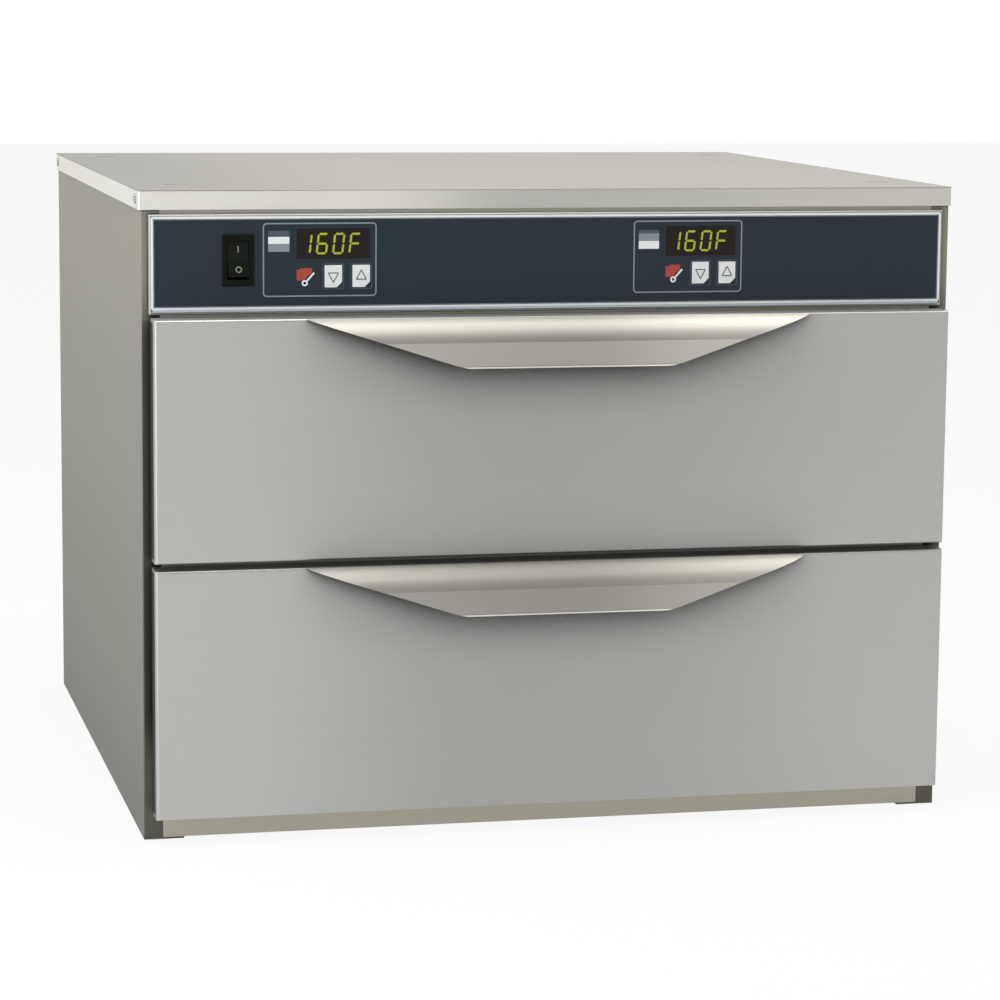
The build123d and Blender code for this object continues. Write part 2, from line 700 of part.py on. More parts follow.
def ball_cages(top, web, ball_x, track_half_height):
    """The ball cages of one raceway on both sides: a thin channel with a row of balls top and bottom."""
    start = (slide_front + slide_back - CAGE_LENGTH) / 2
    ball_z = track_half_height - SLIDE_SHEET - BALL_PLAY - BALL_DIAMETER / 2
    lip_end = ball_x + BALL_DIAMETER / 2 + POCKET_PLAY + CAGE_SHEET
    cage = channel(web, lip_end, ball_z + CAGE_LIP / 2, CAGE_SHEET, CAGE_LIP, (start, start + CAGE_LENGTH))
    balls = []
    for side in (-1, 1):
        for i in range(BALLS_PER_ROW):
            centre = Pos(slide_x(ball_x), start + CAGE_LENGTH * (i + 0.5) / BALLS_PER_ROW, side * ball_z)
            cage -= centre * Cylinder(BALL_DIAMETER / 2 + POCKET_PLAY, 2 * CAGE_LIP)
            balls.append(centre * Sphere(BALL_DIAMETER / 2))
    level = Pos(0, 0, slide_z(top))
    left = [level * piece for piece in [cage] + balls]
    return Compound(left + [mirror(piece, Plane.YZ) for piece in left])


def outer_ball_cages(bottom, top):
    ball_x = (middle_web + outer_lip_end - SLIDE_SHEET) / 2
    return ball_cages(top, outer_cage_web, ball_x, outer_half_height)


def inner_ball_cages(bottom, top):
    ball_x = (inner_lip_start + middle_lip_end) / 2
    return ball_cages(top, inner_cage_web, ball_x, middle_half_height)


# ================================================================ drawers
def front_shell(bottom, top):
    """Outer shell of a drawer front: a face with its four edges turned back."""
    outer = rounded_front((-front_half, front_half), (front_face, front_back), (bottom, top), EDGE_RADIUS)
    half = front_half - FRONT_SHEET
    inner_z = (bottom + FRONT_SHEET, top - FRONT_SHEET)
    inner = rounded_front((-half, half), (front_face + FRONT_SHEET, front_back + SEAM), inner_z,
                          EDGE_RADIUS - FRONT_SHEET)
    return outer - inner


def front_inner_panel(bottom, top):
    """Inner panel that closes the shell's back."""
    inset = FRONT_SHEET + SEAM
    half = front_half - inset
    panel = slab((-half, half), (front_back - FRONT_SHEET, front_back), (bottom + inset, top - inset))
    places = [place.offset(-CARRIER_SHEET) for place in carrier_screw_places(top)]
    return cut_screw_holes(panel, places, FRONT_SHEET)


def front_insulation(bottom, top):
    inset = FRONT_SHEET + LAY_GAP
    half = front_half - inset
    y = (front_face + inset, front_back - inset)
    return slab((-half, half), y, (bottom + inset, top - inset))


def front_gasket(bottom, top):
    """Flat seal round the back of a drawer front."""
    y = (front_back, front_back + GASKET_THICKNESS)
    half = front_half - GASKET_INSET
    z = (bottom + GASKET_INSET, top - GASKET_INSET)
    ring = rounded_block((-half, half), y, z, GASKET_WIDTH)
    hole_x = (-half + GASKET_WIDTH, half - GASKET_WIDTH)
    hole_y = (y[0] - SEAM, y[1] + SEAM)
    hole_z = (z[0] + GASKET_WIDTH, z[1] - GASKET_WIDTH)
    return ring - rounded_block(hole_x, hole_y, hole_z, GASKET_WIDTH / 2)


def handle_profile():
    """Section of the handle as (reach in front of the face, drop below the front's top edge)."""
    start = Vector(0, HANDLE_TOP_OFFSET)
    bend = Vector(HANDLE_BEAD_REACH, HANDLE_TOP_OFFSET + HANDLE_BEAD_DROP)
    radius = (HANDLE_BEAD_REACH**2 + HANDLE_BEAD_DROP**2) / (2 * HANDLE_BEAD_DROP)
    centre = start + Vector(0, radius)
    flare = math.radians(HANDLE_FLARE)
    along = Vector(math.sin(flare), math.cos(flare))
    outward = Vector(math.cos(flare), -math.sin(flare))
    hem_radius = (HANDLE_SHEET + HANDLE_HEM_SHEET) / 2
    flange_length = (HANDLE_REACH - hem_radius * (1 - outward.X) - bend.X) / along.X
    lip = bend + along * flange_length
    # The flange's inner line meets the bead's inner arc at the inside of the bend
    inner_radius = radius - HANDLE_SHEET
    on_line = bend - outward * HANDLE_SHEET
    offset = on_line - centre
    half_b = offset.dot(along)
    reach = -half_b + math.sqrt(half_b**2 - offset.length**2 + inner_radius**2)
    inner_bend = on_line + along * reach
    top_angle = math.asin(HANDLE_SHEET / inner_radius)
    inner_start = centre + Vector(math.sin(top_angle), -math.cos(top_angle)) * inner_radius
    middle_angle = (top_angle + math.atan2(inner_bend.X, centre.Y - inner_bend.Y)) / 2
    inner_middle = centre + Vector(math.sin(middle_angle), -math.cos(middle_angle)) * inner_radius
    outer_angle = math.atan2(bend.X, centre.Y - bend.Y) / 2
    outer_middle = centre + Vector(math.sin(outer_angle), -math.cos(outer_angle)) * radius
    inner_lip = lip - outward * HANDLE_SHEET
    back_end = HANDLE_TOP_OFFSET + HANDLE_BACK_FLANGE
    outline = [
        ThreePointArc(start, outer_middle, bend),
        Line(bend, lip),
        Line(lip, inner_lip),
        Line(inner_lip, inner_bend),
        ThreePointArc(inner_bend, inner_middle, inner_start),
        Polyline(inner_start, (HANDLE_SHEET, back_end), (0, back_end), start),
    ]
    face = make_face(outline)
    hem_end = lip - outward * (2 * hem_radius)
    hem_top = hem_end - along * HANDLE_HEM
    hem_corner = hem_top + outward * HANDLE_HEM_SHEET
    hem = make_face(Polyline(inner_lip, hem_end, hem_top, hem_corner, inner_lip))
    hem_centre = lip - outward * hem_radius
    return face + hem + Pos(hem_centre.X, hem_centre.Y) * Circle(hem_radius), hem_centre.Y + hem_radius


def handle(bottom, top):
    """Handle bent from sheet, welded to the front's face under its top edge and cut to a trapezoid."""
    profile, lip_drop = handle_profile()
    # Sketch x is the reach, towards -Y, and sketch y is the drop, towards -Z
    side_view = Plane(origin=(0, front_face, top), x_dir=(0, -1, 0), z_dir=(1, 0, 0))
    bar = extrude(side_view * profile, HANDLE_TOP_HALF, both=True)
    slope = (HANDLE_TOP_HALF - HANDLE_LIP_HALF) / lip_drop
    low = lip_drop + HANDLE_SHEET / 2
    half = HANDLE_TOP_HALF - slope * low
    corners = [(-HANDLE_TOP_HALF, 0), (HANDLE_TOP_HALF, 0), (half, -low), (-half, -low)]
    outline = Polygon(*corners, align=None)
    outline = fillet(outline.vertices().group_by(Axis.Y)[0], HANDLE_CORNER)
    front_view = Plane(origin=(0, front_face, top), x_dir=(1, 0, 0), z_dir=(0, -1, 0))
    return bar & extrude(front_view * outline, 2 * HANDLE_REACH, both=True)


def carrier_top(top):
    return top - FRONT_LAP - ROOF_CLEARANCE


pan_front = front_back + CARRIER_SHEET + PAN_FRONT_ROOM
pan_middle = pan_front + PAN_WIDTH / 2


def pan_block(height, inset, depth, corner, radius):
    """Tapered block of a pan's body, hanging from the given height."""
    sketch = RectangleRounded(PAN_LENGTH - 2 * inset, PAN_WIDTH - 2 * inset, corner)
    block = extrude(Plane((0, pan_middle, height), z_dir=(0, 0, -1)) * sketch, depth, taper=PAN_DRAFT)
    return fillet(block.faces().sort_by(Axis.Z)[0].edges(), radius)


def pan_carrier(bottom, top):
    """Pressed tray that hangs on the slides, with the opening that the pan drops into."""
    high = carrier_top(top)
    z = (high - CARRIER_FLANGE, high)
    y = (front_back, slide_back)
    plate = slab((-carrier_half, carrier_half), y, (high - CARRIER_SHEET, high))
    inset = PAN_RIM - PAN_SEAT_CLEARANCE
    corner = PAN_CORNER + PAN_SEAT_CLEARANCE
    opening = RectangleRounded(PAN_LENGTH - 2 * inset, PAN_WIDTH - 2 * inset, corner)
    plate -= Pos(0, pan_middle, high) * extrude(opening, 2 * CARRIER_SHEET, both=True)
    side = slab((-carrier_half, -carrier_half + CARRIER_SHEET), y, z)
    front = slab((-carrier_half, carrier_half), (y[0], y[0] + CARRIER_SHEET), z)
    back = slab((-carrier_half, carrier_half), (y[1] - CARRIER_SHEET, y[1]), z)
    carrier = joined([plate, side, mirror(side, Plane.YZ), front, back])
    carrier = cut_screw_holes(carrier, carrier_screw_places(top), CARRIER_SHEET)
    places = [place.offset(-SLIDE_SHEET) for place in inner_slide_screw_places(top)]
    return cut_screw_holes(carrier, places, CARRIER_SHEET)


def pan(bottom, top):
    """Deep pan with a raised rim whose edge is turned down onto the carrier."""
    seat = carrier_top(top)
    rim_under = seat + PAN_RIM_LIFT
    rim_top = rim_under + PAN_SHEET
    rim = extrude(Plane((0, pan_middle, seat)) * RectangleRounded(PAN_LENGTH, PAN_WIDTH, PAN_CORNER),
                  rim_top - seat)
    rim = fillet(rim.faces().sort_by(Axis.Z)[-1].edges(), PAN_SHEET)
    under = RectangleRounded(PAN_LENGTH - 2 * PAN_SHEET, PAN_WIDTH - 2 * PAN_SHEET, PAN_CORNER - PAN_SHEET)
    rim -= extrude(Plane((0, pan_middle, seat)) * under, PAN_RIM_LIFT)
    body = pan_block(rim_top, PAN_RIM, PAN_DEPTH, PAN_CORNER, PAN_BOTTOM_RADIUS)
    hollow = pan_block(rim_top, PAN_RIM + PAN_SHEET, PAN_DEPTH - PAN_SHEET, PAN_CORNER - PAN_SHEET,
                       PAN_BOTTOM_RADIUS - PAN_SHEET)
    return rim + body - hollow


def drawer_screws(bottom, top):
    """Screws of a drawer: the inner slide members and the drawer front."""
    screws = [screw(place, SLIDE_SHEET + CARRIER_SHEET) for place in inner_slide_screw_places(top)]
    screws += [screw(place, CARRIER_SHEET + FRONT_SHEET) for place in carrier_screw_places(top)]
    return Compound(screws)


# ================================================================ controls
def module_left(index):
    """The x of a control module's left edge."""
    return module_x[index] - MODULE_WIDTH / 2


def grown_area(low, size, clearance):
    """The x and z ranges of an area on the fascia, grown by a clearance all round."""
    return tuple((start - clearance, start + extent + clearance) for start, extent in zip(low, size))


def display_area(index, clearance):
    low = (module_left(index) + DISPLAY_LEFT, control_z + DISPLAY_RISE - DISPLAY_HEIGHT / 2)
    return grown_area(low, (DISPLAY_WIDTH, DISPLAY_HEIGHT), clearance)


def lamp_area(index, clearance):
    low = (module_left(index) + LAMP_LEFT, control_z - LAMP_DROP - LAMP_HEIGHT / 2)
    return grown_area(low, (LAMP_WIDTH, LAMP_HEIGHT), clearance)


def key_area(index, column, clearance):
    low = (module_left(index) + KEY_LEFT[column], control_z - KEY_DROP - KEY_HEIGHT / 2)
    return grown_area(low, (KEY_WIDTH, KEY_HEIGHT), clearance)


def key_block(index, column, clearance, y):
    """A block with the key's outline: a rectangle with its lower right corner cut off."""
    x, z = key_area(index, column, clearance)
    block = slab(x, y, z)
    corner = block.edges().filter_by(Axis.Y).group_by(Axis.Z)[0].sort_by(Axis.X)[-1]
    return chamfer(corner, KEY_CUT)


def cut_controls(plate, y):
    """A plate with the openings for the switch, the displays, the lamps and the keys."""
    body_half = SWITCH_WIDTH / 2 - SWITCH_LEDGE + SEAM
    body_high = SWITCH_HEIGHT / 2 - SWITCH_LEDGE + SEAM
    body_x = (switch_x - body_half, switch_x + body_half)
    plate -= slab(body_x, y, (control_z - body_high, control_z + body_high))
    for index in range(len(MODULE_INSETS)):
        for area in (display_area(index, SEAM), lamp_area(index, SEAM)):
            plate -= slab(area[0], y, area[1])
        for column in range(len(KEY_LEFT)):
            plate -= key_block(index, column, KEY_CLEARANCE, y)
    return plate


def control_fascia():
    """Shallow tray over the control opening, its edges turned back to the frame."""
    z = (fascia_bottom, fascia_top)
    outer = rounded_front((-fascia_half, fascia_half), (fascia_face, frame_face), z, EDGE_RADIUS)
    half = fascia_half - CASE_SHEET
    inner_z = (z[0] + CASE_SHEET, z[1] - CASE_SHEET)
    inner_y = (fascia_inner, frame_face + SEAM)
    inner = rounded_front((-half, half), inner_y, inner_z, EDGE_RADIUS - CASE_SHEET)
    return cut_controls(outer - inner, (fascia_face - SEAM, fascia_inner + SEAM))


def control_overlay():
    """Printed film on the fascia."""
    inset = EDGE_RADIUS + OVERLAY_INSET - CASE_SHEET
    half = fascia_half - inset
    z = (fascia_bottom + inset, fascia_top - inset)
    film = rounded_block((-half, half), (overlay_face, fascia_face), z, EDGE_RADIUS)
    return cut_controls(film, (overlay_face - SEAM, fascia_face + SEAM))


pivot_y = overlay_face - SWITCH_BEZEL + ROCKER_PIVOT_DEPTH


def power_switch_housing():
    """Switch housing: a bezel on the overlay, a body behind it, a well for the rocker and its pin."""
    x = (switch_x - SWITCH_WIDTH / 2, switch_x + SWITCH_WIDTH / 2)
    z = (control_z - SWITCH_HEIGHT / 2, control_z + SWITCH_HEIGHT / 2)
    bezel = rounded_front(x, (overlay_face - SWITCH_BEZEL, overlay_face), z, SWITCH_BEZEL / 2)
    body_x = (x[0] + SWITCH_LEDGE, x[1] - SWITCH_LEDGE)
    body_z = (z[0] + SWITCH_LEDGE, z[1] - SWITCH_LEDGE)
    body = slab(body_x, (overlay_face, overlay_face + SWITCH_BODY_DEPTH), body_z)
    well_half = ROCKER_WIDTH / 2 + ROCKER_PLAY
    tilt = math.radians(ROCKER_TILT)
    well_high = ROCKER_HALF_HEIGHT * math.cos(tilt) + ROCKER_CROWN * math.sin(tilt) + ROCKER_PLAY
    well_y = (overlay_face - SWITCH_BEZEL - SEAM, overlay_face - SWITCH_BEZEL + SWITCH_CAVITY_DEPTH)
    well_x = (switch_x - well_half, switch_x + well_half)
    well = slab(well_x, well_y, (control_z - well_high, control_z + well_high))
    pin = rod_x((well_x[0] - SEAM, well_x[1] + SEAM), pivot_y, control_z, ROCKER_PIN_RADIUS)
    return bezel + body - well + pin


def power_switch_rocker():
    """Rocker on its pin, drawn with its upper end pressed in."""
    high = ROCKER_HALF_HEIGHT
    outline = Polygon(
        (-ROCKER_CROWN, high), (-ROCKER_DIP, 0), (-ROCKER_CROWN, -high),
        (0, -high), (ROCKER_TAIL, -ROCKER_TAIL), (ROCKER_TAIL, ROCKER_TAIL), (0, high), align=None
    )
    outline -= Circle(ROCKER_PIN_RADIUS + ROCKER_PIN_CLEARANCE)
    rocker = extrude(Plane.YZ * outline, ROCKER_WIDTH / 2, both=True)
    return Pos(switch_x, pivot_y, control_z) * Rot(-ROCKER_TILT, 0, 0) * rocker


def key(index, column):
    """Key cap that stands proud of the overlay, with a flange that holds it behind the fascia."""
    cap_y = (overlay_face - KEY_PROUD, fascia_inner + KEY_PLAY)
    flange_y = (cap_y[1], cap_y[1] + KEY_FLANGE)
    cap = key_block(index, column, 0, cap_y)
    x, z = key_area(index, column, KEY_FLANGE_BORDER)
    return cap + slab(x, flange_y, z)


def display_windows():
    windows = []
    for index in range(len(MODULE_INSETS)):
        x, z = display_area(index, 0)
        windows.append(slab(x, (overlay_face, controller_front), z))
    return Compound(windows)


def indicator_lenses():
    lenses = []
    for index in range(len(MODULE_INSETS)):
        x, z = lamp_area(index, 0)
        lenses.append(slab(x, (overlay_face, controller_front), z))
    return Compound(lenses)


def controller(index):
    """Temperature controller behind a module, standing off the fascia on four short posts."""
    half = MODULE_WIDTH / 2 - CASE_BORDER
    x = (module_x[index] - half, module_x[index] + half)
    z = (control_z - CONTROLLER_HEIGHT / 2, control_z + CONTROLLER_HEIGHT / 2)
    case = slab(x, (controller_front, controller_front + CONTROLLER_DEPTH), z)
    case = fillet(case.faces().sort_by(Axis.Y)[-1].edges(), CASE_BORDER)
    for post_x in (x[0] + POST_RADIUS, x[1] - POST_RADIUS):
        for post_z in (z[0] + POST_RADIUS, z[1] - POST_RADIUS):
            case += rod_y(post_x, (fascia_inner, controller_front), post_z, POST_RADIUS)
    return case


# ================================================================ electrical parts
def transformer():
    """Laminated core with a bobbin through it, on a foot plate."""
    x = (transformer_x - TRANSFORMER_WIDTH / 2, transformer_x + TRANSFORMER_WIDTH / 2)
    y = (TRANSFORMER_SETBACK - TRANSFORMER_DEPTH / 2, TRANSFORMER_SETBACK + TRANSFORMER_DEPTH / 2)
    top = deck_top + TRANSFORMER_HEIGHT
    core_y = (y[0] + CORE_INSET, y[1] - CORE_INSET)
    core = slab(x, core_y, (deck_top, top))
    coil = slab((x[0] + COIL_INSET, x[1] - COIL_INSET), y, (deck_top + COIL_END, top - COIL_END))
    coil = fillet(coil.edges().filter_by(Axis.Z), COIL_RADIUS)
    foot_x = (x[0] - TRANSFORMER_EAR, x[1] + TRANSFORMER_EAR)
    foot = slab(foot_x, core_y, (deck_top, deck_top + CASE_SHEET))
    return joined([core, coil, foot])


def terminal_block():
    """Terminal block with a barrier between the ways."""
    x0 = terminal_block_x - TERMINAL_BLOCK_LENGTH / 2
    y0 = back_return_front - TERMINAL_BLOCK_SETBACK
    y = (y0, y0 + TERMINAL_BLOCK_DEPTH)
    block = slab((x0, x0 + TERMINAL_BLOCK_LENGTH), y, (deck_top, deck_top + TERMINAL_BASE_HEIGHT))
    pitch = (TERMINAL_BLOCK_LENGTH - CASE_BORDER) / TERMINAL_BLOCK_WAYS
    for i in range(TERMINAL_BLOCK_WAYS + 1):
        x = x0 + i * pitch
        block += slab((x, x + CASE_BORDER), y, (deck_top, deck_top + TERMINAL_BLOCK_HEIGHT))
    return block


def cord_gland():
    """Cable gland through the back panel: a domed nut outside, a threaded tail inside."""
    z = deck_top + GLAND_RISE
    outside = (back_panel_back, cabinet_depth + GLAND_PROUD)
    nut = Plane((gland_x, outside[0], z), x_dir=(1, 0, 0), z_dir=(0, 1, 0)) * RegularPolygon(GLAND_RADIUS, 6)
    half_way = (outside[1] - outside[0]) / 2
    gland = extrude(nut, half_way)
    dome = rod_y(gland_x, (outside[0] + half_way, outside[1]), z, GLAND_BODY_RADIUS)
    gland += fillet(dome.edges().sort_by(Axis.Y)[-1], GLAND_DOME)
    gland += rod_y(gland_x, (back_panel_front - GLAND_TAIL, back_panel_back), z, GLAND_BODY_RADIUS)
    lock_nut = Plane((gland_x, back_panel_front, z), x_dir=(1, 0, 0), z_dir=(0, -1, 0))
    gland += extrude(lock_nut * RegularPolygon(GLAND_RADIUS, 6), LOCK_NUT)
    bore_y = (back_panel_front - 2 * GLAND_TAIL, outside[1] + SEAM)
    return gland - rod_y(gland_x, bore_y, z, GLAND_BORE_RADIUS)


# ================================================================ all nodes
KEY_NAMES = ("down_key", "up_key")
MODULE_NAMES = ("left", "right")

nodes = {
    "top_cover": top_cover(),
    "cover_hole_plugs": cover_hole_plugs(),
    "cabinet_screws": cabinet_screws(),
    "left_side_panel": side_panel(-1),
    "right_side_panel": side_panel(1),
    "back_panel": back_panel(),
    "base_pan": base_pan(),
    "front_frame": front_frame(),
    "bottom_front_rail": bottom_front_rail(),
    "component_deck": component_deck(),
    "side_insulation_pads": side_insulation_pads(),
    "level_insulation_pads": level_insulation_pads(),
    "rear_insulation_pad": rear_insulation_pad(),
    "temperature_sensors": temperature_sensors(),
    "limit_thermostats": limit_thermostats(),
    "control_fascia": control_fascia(),
    "control_overlay": control_overlay(),
    "power_switch_housing": power_switch_housing(),
    "power_switch_rocker": power_switch_rocker(),
    "display_windows": display_windows(),
    "indicator_lenses": indicator_lenses(),
    "transformer": transformer(),
    "terminal_block": terminal_block(),
    "cord_gland": cord_gland(),
}
for index, module_name in enumerate(MODULE_NAMES):
    nodes[f"{module_name}_controller"] = controller(index)
    for column, key_name in enumerate(KEY_NAMES):
        nodes[f"{module_name}_{key_name}"] = key(index, column)

LEVEL_PIECES = {
    "cavity_liner": cavity_liner,
    "heating_cable": heating_cable,
    "outer_slides": outer_slides,
    "middle_slides": middle_slides,
    "inner_slides": inner_slides,
    "outer_ball_cages": outer_ball_cages,
    "inner_ball_cages": inner_ball_cages,
    "front_shell": front_shell,
    "front_inner_panel": front_inner_panel,
    "front_insulation": front_insulation,
    "front_gasket": front_gasket,
    "handle": handle,
    "pan_carrier": pan_carrier,
    "pan": pan,
    "drawer_screws": drawer_screws,
}
for level, (bottom_edge, top_edge) in drawers.items():
    for piece_name, make_piece in LEVEL_PIECES.items():
        nodes[f"{level}_{piece_name}"] = make_piece(bottom_edge, top_edge)

os.makedirs("parts", exist_ok=True)
for name, shape in nodes.items():
    export_step(Pos(0, y_shift, 0) * shape, f"parts/{name}.step")
size = f"{2 * cover_half:.1f} wide, {cabinet_depth:.1f} deep, {cabinet_height:.1f} high"
print(f"{len(nodes)} nodes; cabinet {size}")
print(f"cover front at y = {y_shift:.2f}")
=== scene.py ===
"""Looks for the countertop warming drawer: finishes, printed panel, studio and camera. Metres."""

import math

import bmesh
import bpy
from mathutils import Matrix, Vector


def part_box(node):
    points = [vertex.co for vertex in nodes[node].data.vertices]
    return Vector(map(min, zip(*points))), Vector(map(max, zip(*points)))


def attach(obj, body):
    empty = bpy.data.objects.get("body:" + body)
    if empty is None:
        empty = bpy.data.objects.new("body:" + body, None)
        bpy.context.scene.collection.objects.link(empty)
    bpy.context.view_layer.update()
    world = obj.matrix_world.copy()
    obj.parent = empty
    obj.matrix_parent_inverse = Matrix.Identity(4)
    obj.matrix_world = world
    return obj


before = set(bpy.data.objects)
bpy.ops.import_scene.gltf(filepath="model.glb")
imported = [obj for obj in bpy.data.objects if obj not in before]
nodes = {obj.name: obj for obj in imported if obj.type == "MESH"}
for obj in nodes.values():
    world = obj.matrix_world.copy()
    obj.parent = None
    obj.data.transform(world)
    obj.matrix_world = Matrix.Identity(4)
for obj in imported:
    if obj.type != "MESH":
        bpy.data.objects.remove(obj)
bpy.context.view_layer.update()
MM = 0.001


# ---------------------------------------------------------------- colours
WHITE = (1.0, 1.0, 1.0, 1.0)


def linear(*rgb):
    """Screen colour, 0 to 255, as linear light by the sRGB curve."""
    out = []
    for value in rgb:
        value = value / 255
        out.append(value / 12.92 if value <= 0.04045 else ((value + 0.055) / 1.055) ** 2.4)
    return tuple(out) + (1.0,)


def scaled(colour, factor):
    """The colour times a factor, with no channel above 1."""
    return tuple(min(1.0, channel * factor) for channel in colour[:3]) + (1.0,)


def grey(level):
    """Grey of one level."""
    return (level, level, level, 1.0)


# ---------------------------------------------------------------- shader nodes
NOISE_LOW = 0.3     # a noise lies mostly between these two, so its ramps run from one to the other
NOISE_HIGH = 0.7
NOISE_ROUGHNESS = 0.6


def feed(tree, source, socket):
    """Sets a socket to a constant, or links an output to it."""
    if isinstance(source, bpy.types.NodeSocket):
        tree.links.new(source, socket)
    else:
        socket.default_value = source


def coordinate(tree, kind):
    """Texture coordinates of one kind."""
    return tree.nodes.new("ShaderNodeTexCoord").outputs[kind]


def component(tree, vector, axis):
    """One axis of a vector."""
    node = tree.nodes.new("ShaderNodeSeparateXYZ")
    tree.links.new(vector, node.inputs["Vector"])
    return node.outputs[axis]


def spanned(tree, source, start, end, low=0.0, high=1.0):
    """Value that goes from low to high as the source goes from start to end."""
    node = tree.nodes.new("ShaderNodeMapRange")
    for name, value in (("From Min", start), ("From Max", end), ("To Min", low), ("To Max", high)):
        node.inputs[name].default_value = value
    tree.links.new(source, node.inputs["Value"])
    return node.outputs["Result"]


def maths(tree, operation, *values):
    """Math node over constants and outputs."""
    node = tree.nodes.new("ShaderNodeMath")
    node.operation = operation
    for value, socket in zip(values, node.inputs):
        feed(tree, value, socket)
    return node.outputs[0]


def mixed(tree, factor, first, second, blend="MIX"):
    """Mix node over two colours, each a constant or an output."""
    node = tree.nodes.new("ShaderNodeMix")
    node.data_type = "RGBA"
    node.blend_type = blend
    feed(tree, factor, node.inputs["Factor"])
    feed(tree, first, node.inputs["A"])
    feed(tree, second, node.inputs["B"])
    return node.outputs["Result"]


def multiplied(tree, first, second):
    """One colour times the other."""
    return mixed(tree, 1.0, first, second, "MULTIPLY")


def mixed_shader(tree, factor, first, second):
    """The first shader where the factor is 0 and the second where it is 1."""
    node = tree.nodes.new("ShaderNodeMixShader")
    tree.links.new(factor, node.inputs["Fac"])
    tree.links.new(first, node.inputs[1])
    tree.links.new(second, node.inputs[2])
    return node.outputs[0]


def stepped(tree, source, stops, interpolation="LINEAR"):
    """Colour that follows the source through (position, colour) stops."""
    node = tree.nodes.new("ShaderNodeValToRGB")
    node.color_ramp.interpolation = interpolation
    elements = node.color_ramp.elements
    while len(elements) < len(stops):
        elements.new(0.5)
    for element, (position, colour) in zip(elements, stops):
        element.position = position
        element.color = colour
    tree.links.new(source, node.inputs["Fac"])
    return node.outputs["Color"]


def ramp(tree, source, low, high, start=NOISE_LOW, end=NOISE_HIGH):
    """Colour between two values as the source goes from start to end."""
    return stepped(tree, source, ((start, low), (end, high)))


def along_axis(tree, axis, stops):
    """Grey level that changes along one axis of the part, given as (metres, level) stops."""
    start, end = stops[0][0], stops[-1][0]
    place = component(tree, coordinate(tree, "Object"), axis)
    levels = [((metres - start) / (end - start), grey(level)) for metres, level in stops]
    return stepped(tree, spanned(tree, place, start, end), levels, "EASE")


def stretched_noise(tree, scale, detail):
    """Noise in the object's own metres, with a different scale along each axis."""
    mapping = tree.nodes.new("ShaderNodeMapping")
    mapping.inputs["Scale"].default_value = scale
    noise = tree.nodes.new("ShaderNodeTexNoise")
    noise.inputs["Scale"].default_value = 1.0
    noise.inputs["Detail"].default_value = detail
    noise.inputs["Roughness"].default_value = NOISE_ROUGHNESS
    tree.links.new(coordinate(tree, "Object"), mapping.inputs["Vector"])
    tree.links.new(mapping.outputs["Vector"], noise.inputs["Vector"])
    return noise.outputs["Fac"]


def bumped(tree, shader, source, strength, distance):
    """Shallow relief from the source."""
    bump = tree.nodes.new("ShaderNodeBump")
    bump.inputs["Strength"].default_value = strength
    bump.inputs["Distance"].default_value = distance
    tree.links.new(source, bump.inputs["Height"])
    tree.links.new(bump.outputs["Normal"], shader.inputs["Normal"])


# ---------------------------------------------------------------- kinds of material
METALLIC = 0.72                 # part of metal in the look of most sheet steel
GRAIN_FINE = 1100.0             # scale of the brushing across the streaks, per metre
GRAIN_LONG = 9.0                # and along them
BRUSHING_DEPTH = 0.00005
MOTTLE_SCALE = 5.0
MOTTLE_LEVEL = 0.97
STEEL_SPREAD = 0.04             # how far the roughness goes to either side of its middle
PLASTIC_SPREAD = 0.05
PLASTIC_DEPTH = 0.0001

# Painted shade: ambient occlusion darkens the base colour where other sheet stands close in front
PAINTED_SHADE_SAMPLES = 8
PAINTED_SHADE_OPEN = (0.52, 0.96)     # openness at the darkest level and at the full one
FACING_FRONT = (0.3, -0.9)      # Y of the normal where the painted shade starts to count and where it counts fully
ABOVE_FLOOR = ((0.04, 0.0), (0.10, 1.0))    # height and how much of the painted shade counts there
EDGE_BLEND = 0.0006             # half the height over which the cover edge's painted light goes into the face's tone


def new_material(name):
    """A material with its node tree and its main shader."""
    material = bpy.data.materials.new(name)
    material.use_nodes = True
    tree = material.node_tree
    shader = tree.nodes["Principled BSDF"]
    return material, tree, shader


def painted_shade(tree, darkest, distance):
    """Painted shade: a grey level from ambient occlusion that falls where other sheet stands close in
    front of the surface.
    """
    node = tree.nodes.new("ShaderNodeAmbientOcclusion")
    node.samples = PAINTED_SHADE_SAMPLES
    node.inputs["Distance"].default_value = distance
    shade = ramp(tree, node.outputs["AO"], grey(darkest), WHITE, *PAINTED_SHADE_OPEN)
    # Only where the surface faces the front: the edges turned back keep their tone
    normal = tree.nodes.new("ShaderNodeNewGeometry").outputs["True Normal"]
    facing = spanned(tree, component(tree, normal, "Y"), *FACING_FRONT)
    # Only well above the floor, whose occlusion would paint shade there too
    above = along_axis(tree, "Z", ABOVE_FLOOR)
    return mixed(tree, maths(tree, "MULTIPLY", facing, above), WHITE, shade)


def with_painted_edge_light(tree, tone, border, edge_light_levels):
    """Painted light on an edge: the tone above a height, and below it the tone times levels of its own."""
    below = multiplied(tree, tone, along_axis(tree, "X", edge_light_levels))
    above = along_axis(tree, "Z", ((border - EDGE_BLEND, 0.0), (border + EDGE_BLEND, 1.0)))
    return mixed(tree, above, below, tone)


def painted_top_light(tree, stops):
    """Painted top light: a grey level by how far the surface faces upwards, given as (Z of the normal,
    level) stops.
    """
    normal = tree.nodes.new("ShaderNodeNewGeometry").outputs["Normal"]
    return stepped(tree, component(tree, normal, "Z"), [(upward, grey(level)) for upward, level in stops])


